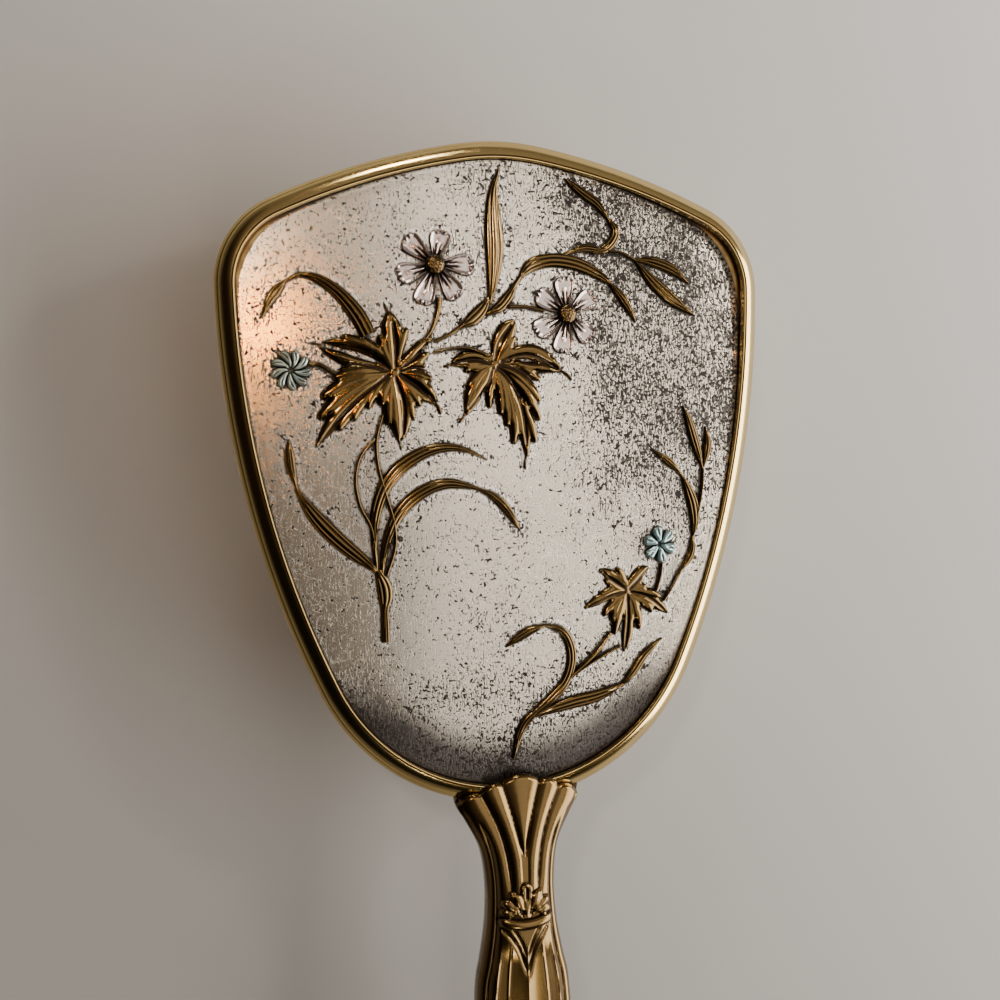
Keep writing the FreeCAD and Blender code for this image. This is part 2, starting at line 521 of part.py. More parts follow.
def finger_spine(base_x, base_y, tip_x, tip_y, half_width, bend):
    """A leaf finger's middle line: narrow at the base, widest past the middle, pointed at the tip."""
    length = math.hypot(tip_x - base_x, tip_y - base_y)
    nx, ny = -(tip_y - base_y) / length, (tip_x - base_x) / length
    spine = []
    for along, share in ((0.0, 0.3), (0.35, 0.75), (0.68, 1.0), (0.88, 0.62), (1.0, 0.08)):
        lift = bend * 4 * along * (1 - along)
        x = base_x + (tip_x - base_x) * along + nx * lift
        y = base_y + (tip_y - base_y) * along + ny * lift
        spine.append((x, y, half_width * share))
    return spine


def petal_spine(cx, cy, degrees, length):
    """A petal's middle line: broad towards its blunt end."""
    angle = math.radians(degrees)
    spine = []
    for along, share in ((0.12, 0.25), (0.4, 0.6), (0.72, 1.0), (0.9, 0.8), (1.0, 0.35)):
        reach = length * along
        spine.append((cx + reach * math.cos(angle), cy + reach * math.sin(angle), PETAL_HALF_WIDTH * share))
    return spine


def rosette_faces(cx, cy, radius, count):
    """A ring of round lobes about a middle disc."""
    lobe_r = radius * math.sin(math.pi / count) / (1 + math.sin(math.pi / count)) * 1.15
    reach = radius - lobe_r
    discs = [(cx, cy, reach)]
    for i in range(count):
        angle = math.pi / 2 + 2 * math.pi * i / count
        discs.append((cx + reach * math.cos(angle), cy + reach * math.sin(angle), lobe_r))
    return [Part.Face(Part.Wire(Part.makeCircle(r, vec(x, y)))) for x, y, r in discs]


def joined(faces):
    if len(faces) == 1:
        return faces[0]
    return faces[0].multiFuse(faces[1:]).removeSplitter()


def on_plate(flat, rise):
    """A flat outline as a raised piece of even thickness that follows the plate's crown."""
    prism = upright(flat, RIM_BOTTOM_Z, DOME_TOP_Z + 3.0)
    return prism.common(dome(-rise).cut(dome()))


def uncovered(flat, covers):
    """What shows of an outline beside those that lie over it, without the scraps between leaf fingers."""
    left = flat.cut(Part.makeCompound(covers))
    return Part.makeCompound([face for face in left.Faces if face.Area > SMALLEST_SCRAP])


def flower_outlines(cx, cy, petals):
    """The petals' outline with the middle left open, and the middle's disc."""
    disc = Part.Face(Part.Wire(Part.makeCircle(BOSS_R, vec(cx, cy))))
    return joined([strip_face(petal_spine(cx, cy, *petal)) for petal in petals]).cut(disc), disc


def make_ornament():
    """Every applied piece by node name. Leaves and petals lie over the stems that run up to them."""
    outlines = {
        "enamel_flower_left": (joined(rosette_faces(*ENAMEL_LEFT)), ENAMEL_RISE),
        "enamel_flower_right": (joined(rosette_faces(*ENAMEL_RIGHT)), ENAMEL_RISE),
    }
    for name, fingers in (("leaf_large", LEAF_LARGE), ("leaf_middle", LEAF_MIDDLE), ("leaf_small", LEAF_SMALL)):
        outlines[name] = (joined([strip_face(finger_spine(*finger)) for finger in fingers]), LEAF_RISE)
    discs = []
    for name, flower in (("silver_flower_left", SILVER_LEFT), ("silver_flower_right", SILVER_RIGHT)):
        petals, disc = flower_outlines(*flower)
        outlines[name] = (petals, PETAL_RISE)
        discs.append(disc)
    outlines["flower_bosses"] = (Part.makeCompound(discs), BOSS_RISE)
    covers = [flat for flat, _ in outlines.values()]
    strips = {
        "blade_upper_left": BLADE_UPPER_LEFT,
        "stem_left_flower": STEM_LEFT_FLOWER,
        "stem_left_enamel": STEM_LEFT_ENAMEL,
        "stem_middle_leaf": STEM_MIDDLE_LEAF,
        "branch_upper_right": BRANCH_UPPER_RIGHT,
        "branch_lower_left": BRANCH_LOWER_LEFT,
        "branch_small": BRANCH_SMALL,
        "branch_small_right": BRANCH_SMALL_RIGHT,
        "stem_right_enamel": STEM_RIGHT_ENAMEL,
    }
    for name, spines in strips.items():
        flat = joined([strip_face(spine) for spine in spines])
        outlines[name] = (uncovered(flat, covers), STEM_RISE)
    return {name: on_plate(flat, rise) for name, (flat, rise) in outlines.items()}


def main():
    os.makedirs("parts", exist_ok=True)
    nodes = {
        "back_plate": make_back_plate(),
        "rim": make_rim(),
        "head_core": make_head_core(),
        "bristle_block": make_bristle_block(),
        "border_tufts": make_tufts(border_sites(), TIP_Z),
        "field_tufts": make_tufts(field_sites(), FIELD_TIP_Z),
        "tuft_anchors": make_tuft_anchors(),
        "tang": make_tang(),
        "tang_screws": make_tang_screws(),
        "handle_back_shell": make_back_shell(),
        "handle_front_shell": make_front_shell(),
        "handle_filler": make_handle_filler(),
    }
    nodes.update(make_ornament())
    for name, shape in nodes.items():
        print(name, len(shape.Solids), round(shape.Volume, 1), shape.isValid())
        shape.exportStep(os.path.join("parts", name + ".step"))


main()
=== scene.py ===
import math

import bmesh
import bpy
import numpy as np
from mathutils import Matrix, Vector


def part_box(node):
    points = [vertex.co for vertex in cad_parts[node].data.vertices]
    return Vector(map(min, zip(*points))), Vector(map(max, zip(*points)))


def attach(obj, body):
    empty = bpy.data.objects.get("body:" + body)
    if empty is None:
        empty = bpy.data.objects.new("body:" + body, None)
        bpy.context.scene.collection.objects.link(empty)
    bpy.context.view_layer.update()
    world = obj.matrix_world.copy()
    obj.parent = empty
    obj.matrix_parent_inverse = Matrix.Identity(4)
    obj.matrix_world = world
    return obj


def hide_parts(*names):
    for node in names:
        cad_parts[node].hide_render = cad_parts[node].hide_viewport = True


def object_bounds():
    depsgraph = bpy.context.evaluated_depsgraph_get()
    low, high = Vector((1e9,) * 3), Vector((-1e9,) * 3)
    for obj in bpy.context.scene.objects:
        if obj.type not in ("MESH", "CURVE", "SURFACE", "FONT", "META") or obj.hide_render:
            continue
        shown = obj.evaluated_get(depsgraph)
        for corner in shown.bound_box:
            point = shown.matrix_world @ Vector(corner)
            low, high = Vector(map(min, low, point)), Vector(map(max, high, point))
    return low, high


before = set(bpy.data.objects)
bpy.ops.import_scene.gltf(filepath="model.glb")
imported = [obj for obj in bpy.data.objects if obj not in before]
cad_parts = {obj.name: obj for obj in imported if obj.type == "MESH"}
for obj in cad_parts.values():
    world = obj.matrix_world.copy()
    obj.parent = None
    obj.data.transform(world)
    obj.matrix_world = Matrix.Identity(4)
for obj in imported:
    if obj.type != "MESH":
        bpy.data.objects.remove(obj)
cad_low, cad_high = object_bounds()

# Vanity hairbrush. Shapes are worked out in millimetres, with y measured from the head's far end (so
# that it is negative towards the handle), and put into the frame's metres when a mesh is made.
MM = 0.001
APEX_Y = cad_high.y / MM
rng = np.random.default_rng(7)

# ---- sizes, from the frame where it has them
PLATE_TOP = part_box("back_plate")[1].z / MM
LEDGE_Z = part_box("back_plate")[0].z / MM
RIM_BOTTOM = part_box("rim")[0].z / MM
RIM_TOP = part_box("rim")[1].z / MM
SEAM_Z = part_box("handle_front_shell")[1].z / MM
BLOCK_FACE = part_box("bristle_block")[0].z / MM
BORDER_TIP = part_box("border_tufts")[0].z / MM
FIELD_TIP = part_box("field_tufts")[0].z / MM
HANDLE_END = -(cad_high.y - cad_low.y) / MM

# ---- the head's outline: half of it as tangent arcs (radius, degrees turned)
HEAD_ARCS = [(42.3, 9.8), (123.9, 15.2), (15.7, 65.3), (164.6, 23.9)]
PLATE_INSET = 3.35
DOME_CENTRE_Y = -54
DOME_SEMI_AXES = (118, 147.5, 40)

# ---- handle stations (y, half width, back shell's height, front shell's depth)
HANDLE_STATIONS = np.array([
    (-106, 11.6, 3, 5.6), (-112, 11, 3.3, 5.6), (-115, 9.45, 3.6, 5.3), (-120, 7, 4, 4.9),
    (-125, 6.15, 4.2, 4.7), (-130, 6.05, 4.3, 4.6), (-135, 6.5, 4.4, 4.6), (-140, 7.4, 4.5, 4.7),
    (-146, 8.4, 4.6, 4.8), (-165, 9.2, 4.6, 5), (-190, 10, 4.5, 5), (-208, 10.3, 4.2, 4.7),
    (-218, 9.4, 3.7, 4.2), (-225, 7.2, 2.9, 3.3), (-229, 3.8, 1.9, 2.1), (-230, 1.6, 1.3, 1.4),
])
SIDE_WALL = 1

# ---- leaves. A lobule is a rounded swelling (base x, base y, tip x, tip y, half width, sideways bend, how
# blunt its tip is); a rib is the sunken line that a lobe's two sides fold down to.
LEAVES = {
    "leaf_large": {
        "centre": (-19.6, -38.6), "middle": 1.7, "rise": 1.05, "merged": 0.64,
        "lobules": [
            (-19.8, -37.4, -20.2, -28.5, 1.1, 0.35, 0.2), (-19.1, -37.4, -19.8, -28.8, 1, -0.75, 0.2),
            (-19.9, -37.6, -21.8, -32.7, 0.85, 0.2, 0.7), (-19, -37.6, -17.3, -31.5, 0.8, 0.25, 0.7),
            (-18.5, -37.6, -13.2, -33.1, 0.95, 0.35, 0.35), (-18.6, -38.1, -13.9, -35.6, 0.9, -0.2, 0.5),
            (-18.6, -38.3, -14.4, -37.5, 0.65, 0, 0.6), (-18.5, -38.7, -14.4, -38.6, 0.6, 0.2, 0.6),
            (-18.5, -38.8, -13.4, -39.9, 0.8, 0.4, 0.6), (-18.6, -39, -13.8, -41, 0.65, 0.4, 0.6),
            (-18.6, -39, -12.8, -43.3, 0.9, 0.9, 0.2), (-18.8, -39.3, -13.1, -43.9, 0.85, -0.1, 0.2),
            (-18.9, -39.5, -15.5, -44.1, 0.95, 0.2, 0.6), (-19, -39.8, -16.7, -46.2, 0.9, 0.35, 0.6),
            (-19.7, -39.6, -19.2, -50, 1.2, -0.25, 0.2), (-19.1, -39.8, -18.6, -49.6, 1, 0.85, 0.2),
            (-19.9, -39.4, -22, -43.8, 1.15, -0.3, 0.75), (-19.8, -40, -20.9, -47, 1.05, -0.3, 0.7),
            (-20.6, -39.2, -24.1, -44.4, 0.8, -0.5, 0.6), (-21.4, -39.8, -26.6, -46.1, 1, -0.7, 0.65),
            (-22.8, -41, -29, -47.7, 1, -0.5, 0.65), (-21.4, -39.7, -32.7, -50.5, 1.2, -1, 0.15),
            (-21.6, -39.3, -32, -45.7, 1.1, -0.9, 0.7), (-21, -38.9, -31.4, -42.3, 1.15, -0.9, 0.7),
            (-20.7, -38.5, -29.5, -39.3, 0.95, -0.7, 0.6), (-20.6, -38.3, -28.3, -37.9, 0.7, 0.2, 0.5),
            (-20.7, -38, -28.3, -36.4, 0.9, 0.3, 0.7), (-20.5, -37.9, -31.3, -34.5, 1.1, 0.7, 0.25),
            (-20.4, -37.6, -30.9, -33.6, 1.05, -1.3, 0.2), (-20.6, -37.2, -27.6, -32.7, 1.05, -0.6, 0.7),
            (-20.4, -37, -24.7, -33, 0.85, -0.2, 0.7), (-20.3, -28.9, -20.8, -27.3, 0.24, 0, 0.6),
            (-31.2, -34, -33, -33.7, 0.26, 0, 0.6), (-13.2, -43.6, -12.1, -45.6, 0.36, 0.2, 0.8),
            (-19.1, -49.6, -18.9, -51.4, 0.22, 0, 0.6),
        ],
        "ribs": [
            [(-19.4, -38), (-19.2, -34.5), (-19.5, -30.8)], [(-18.6, -38.2), (-16.2, -36.4), (-14.2, -34.3)],
            [(-18.7, -38.9), (-16.4, -40.6), (-13.6, -43.4)], [(-19.4, -39.6), (-18.3, -44), (-18.5, -48.8)],
            [(-20.6, -39.1), (-24.6, -42), (-28.6, -45.6), (-32, -49.8)],
            [(-20.4, -38.2), (-22.6, -36.3), (-25.6, -34.8), (-29.9, -34.1)],
            [(-20.8, -38.4), (-23.6, -37.5), (-28.2, -37.1)], [(-18.6, -38.5), (-16.4, -38), (-14.4, -38)],
        ],
    },
    "leaf_middle": {
        "centre": (-2.7, -37.4), "middle": 1.7, "rise": 1.05, "merged": 0.64,
        "lobules": [
            (-2.8, -36.7, 0.8, -30.1, 1.05, 0.95, 0.3), (-2.3, -36.6, 1.2, -30.6, 0.85, -0.1, 0.3),
            (-2.1, -36.7, 1, -33, 0.85, -0.1, 0.6), (-2, -36.9, 7, -35.9, 1, 1.3, 0.5),
            (-2, -37.2, 8.9, -38.2, 1.25, 2, 0.25), (-2, -37.5, 8.6, -38.8, 0.95, 0.2, 0.2),
            (-1.9, -37.8, 5, -40.1, 0.9, 0.5, 0.6), (-1.9, -38, 5, -43.7, 1.05, 0.9, 0.6),
            (-1.4, -38.9, 4.9, -46.9, 0.95, 0.8, 0.55), (0.5, -42.3, 4, -50.6, 0.95, 0.5, 0.65),
            (-2.1, -38.4, 2.5, -53, 1.2, 1.1, 0.25), (-1.6, -39.4, 0.3, -50.8, 0.95, 0.7, 0.65),
            (-2, -39, -0.9, -47.8, 0.85, 0.4, 0.65), (-2.5, -38.8, -2, -45.9, 0.8, 0.2, 0.6),
            (-2.9, -38.4, -3.9, -44.7, 0.85, -0.2, 0.6), (-3.2, -38.2, -7.8, -45.8, 0.95, -0.1, 0.2),
            (-3.3, -38, -8, -45.2, 0.9, -1, 0.2), (-3.3, -37.9, -7.6, -41.3, 0.85, -0.3, 0.6),
            (-3.4, -37.6, -8, -38.6, 0.75, -0.2, 0.6), (-3.3, -37.4, -10.1, -37.6, 0.75, -0.2, 0.25),
            (-3.2, -37.1, -10, -37, 0.85, -1.1, 0.25), (-9.9, -37.4, -11.4, -37.9, 0.28, 0, 0.8),
            (8.2, -38.5, 10.9, -40.3, 0.3, 0.3, 0.9), (2.5, -52.6, 2.1, -55.3, 0.22, -0.2, 0.8),
            (-8, -45.4, -9.2, -47.2, 0.26, 0.2, 0.7),
        ],
        "ribs": [
            [(-2.6, -36.6), (-1.9, -34), (0.2, -31.2)],
            [(-1.6, -37.2), (1.5, -36.2), (4.2, -36.3), (8.4, -38.4)],
            [(-2.3, -38), (0.2, -40.6), (1.8, -45.2), (2.4, -51)],
            [(-3.1, -38.3), (-4.2, -41.4), (-7.3, -44.8)], [(-3.4, -37.3), (-6.2, -36.8), (-9.6, -37.3)],
            [(-2, -37.7), (1.2, -38.4), (4.8, -40.9)],
        ],
    },
    "leaf_small": {
        "centre": (20.4, -77.3), "middle": 1.7, "rise": 0.95, "merged": 0.62,
        "lobules": [
            (20.3, -76.9, 15.2, -73.1, 1, -0.5, 0.3), (20.4, -76.8, 18.5, -72.9, 0.9, -0.2, 0.5),
            (20.1, -77, 16.2, -74.9, 0.8, 0.1, 0.6), (20.6, -76.9, 24.6, -73.2, 1.1, 0.6, 0.3),
            (20.7, -77, 23.4, -75, 0.75, 0.1, 0.6), (20.8, -77.2, 24.1, -76.4, 0.8, 0.2, 0.6),
            (20.9, -77.3, 27, -78.6, 0.9, 0.4, 0.4), (20.9, -77.4, 28.4, -81.6, 1.05, 0.5, 0.25),
            (20.9, -77.6, 25.3, -81.1, 0.9, 0.3, 0.6), (20.7, -77.7, 22.8, -84, 1, 0.5, 0.5),
            (20.5, -77.7, 19.8, -87.9, 1.2, 0.5, 0.25), (20.2, -77.6, 17.9, -84.5, 1, -0.2, 0.6),
            (20, -77.5, 17.3, -82.2, 0.9, -0.3, 0.6), (19.9, -77.4, 15.8, -81.1, 0.85, -0.2, 0.6),
            (20, -77.3, 12.4, -79.6, 0.95, -0.5, 0.25), (20.2, -77.1, 15.3, -77.3, 0.85, -0.2, 0.5),
        ],
        "ribs": [
            [(20, -76.8), (17.6, -75.2), (15.6, -73.4)], [(20.8, -76.8), (22.6, -75.3), (24.4, -73.5)],
            [(21, -77.4), (24.4, -78.6), (28, -81.4)], [(20.4, -77.9), (20.4, -82.4), (19.9, -87.2)],
            [(19.8, -77.3), (16.4, -78.1), (13, -79.5)],
        ],
    },
}
LEAF_GRID = 0.16
CUSHION_WIDTH = 1.35
RIB_WIDTH, RIB_DIP_WIDTH = 0.24, 0.85
BLEND = 16

# ---- blades and stems: each a strip along its middle line (x, y, half width)
STRIPS = {
    "blade_upper_left": [
        [(-23.6, -32.4, 1.15), (-25.2, -29.2, 1.2), (-27.9, -25.8, 0.95), (-31, -23.5, 0.7),
         (-34, -22.7, 0.4), (-36.5, -23.8, 0.22)],
        [(-36.4, -23.7, 0.2), (-38, -25.4, 0.75), (-39.2, -27.1, 0.6), (-40.4, -29.7, 0.1)],
    ],
    "stem_left_flower": [
        [(-11.7, -26.6, 0.45), (-12.1, -29.2, 0.42), (-13.2, -31.8, 0.32), (-14.3, -33.3, 0.25)],
    ],
    "stem_left_enamel": [[(-33.2, -37.1, 0.35), (-31.4, -37.3, 0.4), (-29.2, -38.8, 0.3)]],
    "stem_middle_leaf": [[(-4, -36, 0.35), (-6.8, -34.9, 0.3), (-10, -34.9, 0.25), (-13, -35.5, 0.2)]],
    "branch_upper_right": [
        [(-12.7, -33.7, 0.3), (-10.3, -32.6, 0.3), (-8.2, -31.3, 0.35), (-6.4, -30.2, 0.95),
         (-4.6, -28.5, 0.9), (-3.3, -26.6, 0.3)],
        [(-0.4, -4.7, 0.1), (-1.7, -9, 0.75), (-1.9, -13.6, 1.25), (-1.9, -18, 1.4), (-2.3, -22.6, 1),
         (-3.1, -27.3, 0.3)],
        [(-3.8, -29.2, 0.3), (-1.7, -28.2, 0.75), (0, -26.4, 0.75), (1.4, -24.3, 0.4), (2.4, -22.9, 0.3)],
        [(2.3, -23, 0.3), (4.4, -21, 0.95), (8, -20.1, 1.05), (12, -20.5, 1.05), (15.7, -21.9, 0.85),
         (18.7, -23.9, 0.35)],
        [(18.5, -23.8, 0.3), (20.6, -26.1, 0.7), (22, -28.2, 0.6), (23.2, -30.6, 0.1)],
        [(9.6, -19.4, 0.25), (12, -18.5, 0.35), (14, -17.9, 0.65), (16.3, -18.1, 0.6)],
        [(15.6, -18.7, 0.3), (18, -17.9, 0.7), (19.6, -16.3, 0.75), (20, -14.6, 0.7), (18.8, -12.8, 0.3)],
        [(18.8, -12.8, 0.3), (16.8, -10.2, 0.7), (14.5, -8.6, 0.75), (12.5, -7.2, 0.5), (11.2, -6.1, 0.1)],
        [(18.5, -18.3, 0.25), (21, -18.6, 0.25), (23.7, -19.9, 0.25)],
        [(23.6, -19.8, 0.15), (26.8, -19.9, 0.8), (30.7, -21.2, 0.8), (34, -23.7, 0.1)],
        [(23.6, -20, 0.15), (26.8, -23.4, 0.95), (30.7, -26.6, 0.95), (34.9, -29.3, 0.1)],
        [(6.2, -28.7, 0.3), (3.3, -28, 0.3), (0.2, -28, 0.35)],
    ],
    "branch_lower_left": [
        [(-21.8, -45.6, 0.25), (-22.9, -49.6, 0.27), (-22.8, -53.6, 0.27), (-21.8, -58, 0.27),
         (-20.5, -63, 0.27), (-20.4, -67.2, 0.25), (-21.9, -71.8, 0.25)],
        [(-23.2, -49.4, 0.2), (-25.6, -52.2, 0.27), (-26.5, -56, 0.27), (-25.9, -60.2, 0.27),
         (-24.3, -63.6, 0.25), (-23.7, -67, 0.25)],
        [(-4.5, -53.4, 0.1), (-7.9, -51.7, 0.4), (-11.2, -51.1, 0.65), (-14.7, -51.7, 0.85),
         (-17.9, -53.3, 1), (-20.3, -55.3, 1.05), (-22.2, -58, 0.95), (-23.5, -62, 0.75), (-23.8, -66.3, 0.5),
         (-23.5, -70.8, 0.3)],
        [(0.95, -65.5, 0.1), (-1, -62.3, 0.65), (-3.5, -59.6, 0.6), (-6.2, -58.2, 0.22)],
        [(-6, -58.2, 0.22), (-8.1, -57.6, 0.5), (-10.9, -57.1, 0.75), (-13.6, -57.5, 0.85),
         (-16.4, -58.8, 0.95), (-18.8, -60.8, 0.95), (-20.4, -62.9, 0.85), (-21.7, -66, 0.65),
         (-22.4, -69, 0.5), (-22.7, -71.8, 0.3)],
        [(-23.2, -71.3, 0.3), (-26.2, -68.7, 0.9), (-29, -66.2, 1.1), (-31.7, -63.4, 1.15),
         (-33.9, -60.6, 0.9), (-35.6, -57.8, 0.4), (-36.1, -56.4, 0.2)],
        [(-36, -56.7, 0.2), (-36.7, -53.7, 0.65), (-36.9, -51.5, 0.65), (-36.9, -49, 0.1)],
        [(-23.4, -70.9, 0.5), (-22.4, -73.6, 1.05), (-22.2, -75.6, 1), (-22.4, -77.4, 0.6), (-22.4, -80, 0.6),
         (-22.4, -82.9, 0.65)],
    ],
    "branch_small": [
        [(-0.7, -105, 0.25), (0.1, -101.5, 0.55), (1.3, -98.9, 0.7), (3.4, -96.9, 0.6)],
        [(3, -97.2, 0.5), (6.6, -94.6, 0.85), (8.9, -91.9, 0.75), (9.9, -88.6, 0.75), (9.5, -85.4, 0.75),
         (7.9, -83, 0.6), (4.9, -82, 0.22)],
        [(5.1, -82, 0.22), (2.9, -82.6, 0.6), (0.5, -83.7, 0.7), (-2, -85.3, 0.1)],
        [(9.4, -91.6, 0.3), (14, -87.9, 0.4), (17.2, -84.3, 0.35)],
        [(9.4, -91.7, 0.2), (14, -89, 0.25), (19, -86.8, 0.25)],
        [(2.6, -97.8, 0.35), (6.5, -96.8, 0.75), (10.5, -96, 1), (15, -95.3, 0.9), (19.7, -93.6, 0.3)],
        [(19.6, -93.7, 0.3), (21.8, -91.4, 0.7), (24, -88.6, 0.65), (27.2, -86.1, 0.1)],
    ],
    "branch_small_right": [
        [(27.4, -79.4, 0.25), (29.2, -77, 0.22), (31, -74, 0.25)],
        [(30.9, -74.2, 0.2), (32.6, -72.2, 0.65), (33.3, -70.4, 0.6), (33.3, -68.2, 0.2)],
        [(33.4, -68.4, 0.2), (33.9, -65.6, 0.75), (33.6, -62.6, 0.95), (32.6, -59.8, 0.7),
         (31.5, -57.6, 0.25)],
        [(31.6, -57.8, 0.25), (30.6, -56.4, 0.35), (28.6, -54.7, 0.65), (25.6, -52.5, 0.1)],
        [(33.5, -68, 0.22), (34.5, -63.6, 0.22), (35.3, -60, 0.22), (35.6, -56.4, 0.22)],
        [(35.6, -56.4, 0.15), (34.3, -52, 0.75), (33.1, -48.2, 0.65), (31.9, -45.1, 0.1)],
        [(35.6, -56.4, 0.15), (36.6, -53, 0.7), (36.7, -50.8, 0.5), (36.3, -48.8, 0.1)],
    ],
    "stem_right_enamel": [[(27.1, -72.7, 0.3), (26.8, -74.8, 0.3), (26, -77.4, 0.25)]],
}
STRIP_RISE = 0.85
STEM_HALF = 0.46

# ---- flowers: the middle, then each silver petal's (degrees from +X, length), or the enamel flower's
# radius, number of lobes and how far its lobes swirl
SILVER_FLOWERS = {
    "silver_flower_left": (-12.2, -21.1, [(78, 5.9), (3, 6.6), (307, 6.6), (252, 7), (199, 6.5), (139, 6.5)]),
    "silver_flower_right": (10.4, -29.2, [(96, 6.4), (35, 6.1), (318, 6.1), (262, 6.7), (211, 6.6),
                                          (149, 6.3)]),
}
PETAL_HALF_WIDTH = 1.85
BOSS_R = 1.6
BOSS_GRAINS = 26
GOLDEN_TURN = 2.39996
ENAMEL_FLOWERS = {
    "enamel_flower_left": (-36.1, -38, 3.1, 9, 0.45),
    "enamel_flower_right": (26.7, -69.3, 3.1, 6, 0.08),
}


# ---- small maths

def unit(x):
    """x kept between 0 and 1."""
    return np.clip(x, 0, 1)


def smoothstep(low, high, x):
    t = unit((np.asarray(x, float) - low) / (high - low))
    return t * t * (3 - 2 * t)


def fade(low, high, x):
    """1 up to low, falling smoothly to 0 at high."""
    return 1 - smoothstep(low, high, x)


def bell(x, width):
    """1 at 0, falling away on both sides."""
    return np.exp(-(x / width) ** 2)


def valley(distance, width):
    """1 at 0, falling to 0 at width."""
    return unit(1 - np.abs(distance) / width) ** 2


def stacked(*columns):
    """Points from their separate coordinates."""
    return np.stack(columns, axis=-1)


def smooth_line(points, per_segment=8):
    """A Catmull-Rom line through the points, every column interpolated."""
    p = np.asarray(points, float)
    p = np.vstack([2 * p[0] - p[1], p, 2 * p[-1] - p[-2]])
    rows = []
    for i in range(1, len(p) - 2):
        for t in np.arange(per_segment) / per_segment:
            a, b, c, d = p[i - 1], p[i], p[i + 1], p[i + 2]
            rows.append(0.5 * (2 * b + (c - a) * t + (2 * a - 5 * b + 4 * c - d) * t ** 2
                               + (3 * b - a - 3 * c + d) * t ** 3))
    rows.append(p[-2])
    return np.array(rows)


def plate_z(x, y):
    """Height of the silvered plate."""
    a, b, c = DOME_SEMI_AXES
    return PLATE_TOP - c + c * np.sqrt(1 - (x / a) ** 2 - ((y - DOME_CENTRE_Y) / b) ** 2)


# ---- meshes

class Shell:
    """Vertices, faces and one number per vertex ("hollow": 1 in a crevice) gathered for one object."""

    def __init__(self):
        self.verts, self.faces, self.hollow, self.count = [], [], [], 0

    def add(self, verts, faces, hollow=None):
        verts = np.asarray(verts, float).reshape(-1, 3)
        self.verts.append(verts)
        self.hollow.append(np.zeros(len(verts)) if hollow is None else np.asarray(hollow, float).ravel())
        self.faces += [[i + self.count for i in face] for face in faces]
        self.count += len(verts)

    def finish(self, name, material, slot, node, sharp_degrees=40, extra=None):
        """Make the piece that stands for a CAD node. extra holds more numbers per vertex, by channel."""
        verts = np.vstack(self.verts)
        verts[:, 1] += APEX_Y
        mesh = bpy.data.meshes.new(name)
        mesh.from_pydata((verts * MM).tolist(), [], self.faces)
        work = bmesh.new()
        work.from_mesh(mesh)
        bmesh.ops.recalc_face_normals(work, faces=work.faces)
        work.to_mesh(mesh)
        work.free()
        channels = {"hollow": np.concatenate(self.hollow)}
        channels.update(extra or {})
        for channel, values in channels.items():
            attribute = mesh.attributes.new(channel, "FLOAT", "POINT")
            attribute.data.foreach_set("value", np.asarray(values, np.float32))
        mesh.shade_smooth()
        mesh.set_sharp_from_angle(angle=math.radians(sharp_degrees))
        mesh.materials.append(material)
        piece = place_in_scene(name, mesh)
        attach(piece, "root")
        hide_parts(node)


def grid_faces(rows, columns, wrap_columns=False):
    faces = []
    last = columns if wrap_columns else columns - 1
    for r in range(rows - 1):
        for c in range(last):
            d = (c + 1) % columns
            faces.append([r * columns + c, r * columns + d, (r + 1) * columns + d, (r + 1) * columns + c])
    return faces


def capped_tube(rows, columns):
    """Faces of a closed tube of rings, with its first and last ring filled."""
    last = (rows - 1) * columns
    faces = grid_faces(rows, columns, wrap_columns=True)
    return faces + [list(range(columns))[::-1], [last + c for c in range(columns)]]


def place_in_scene(name, data):
    """A new object linked into the scene."""
    made = bpy.data.objects.new(name, data)
    bpy.context.scene.collection.objects.link(made)
    return made


# ---- head outline

def outline(inset, count):
    """count even points (x, y) along the outline moved inwards by inset, clockwise from the top."""
    arcs = []
    x, y, turned = 0, 0, 0
    for radius, degrees in HEAD_ARCS + [(None, None)]:
        if radius is None:
            radius, end = x / math.sin(turned), math.pi
        else:
            end = turned + math.radians(degrees)
        cx, cy = x - radius * math.sin(turned), y - radius * math.cos(turned)
        arcs.append((cx, cy, radius, turned, end))
        x, y, turned = cx + radius * math.sin(end), cy + radius * math.cos(end), end
    lengths = np.array([(r - inset) * (e - s) for _, _, r, s, e in arcs])
    half = lengths.sum()
    starts = np.concatenate([[0], np.cumsum(lengths)])
    points = []
    for k in range(count):
        along = 2 * half * k / count
        mirrored = along > half
        along = 2 * half - along if mirrored else along
        i = min(int(np.searchsorted(starts, along, side="right")) - 1, len(arcs) - 1)
        cx, cy, r, s, _ = arcs[i]
        angle = s + (along - starts[i]) / (r - inset)
        px, py = cx + (r - inset) * math.sin(angle), cy + (r - inset) * math.cos(angle)
        points.append((-px if mirrored else px, py))
    return np.array(points)


def outward(points):
    ahead, behind = np.roll(points, -1, axis=0), np.roll(points, 1, axis=0)
    t = ahead - behind
    t /= np.linalg.norm(t, axis=1)[:, None]
    return stacked(-t[:, 1], t[:, 0])


def inside_outline(points, inset):
    """Which points lie inside the inset outline, by their angle about the head's middle."""
    edge = outline(inset, 720) - (0, DOME_CENTRE_Y)
    order = np.argsort(np.arctan2(edge[:, 1], edge[:, 0]))
    angles = np.arctan2(edge[:, 1], edge[:, 0])[order]
    radii = np.linalg.norm(edge, axis=1)[order]
    away = points - (0, DOME_CENTRE_Y)
    reach = np.interp(np.arctan2(away[:, 1], away[:, 0]), angles, radii, period=2 * math.pi)
    return np.linalg.norm(away, axis=1) < reach


# ---- strips and leaves

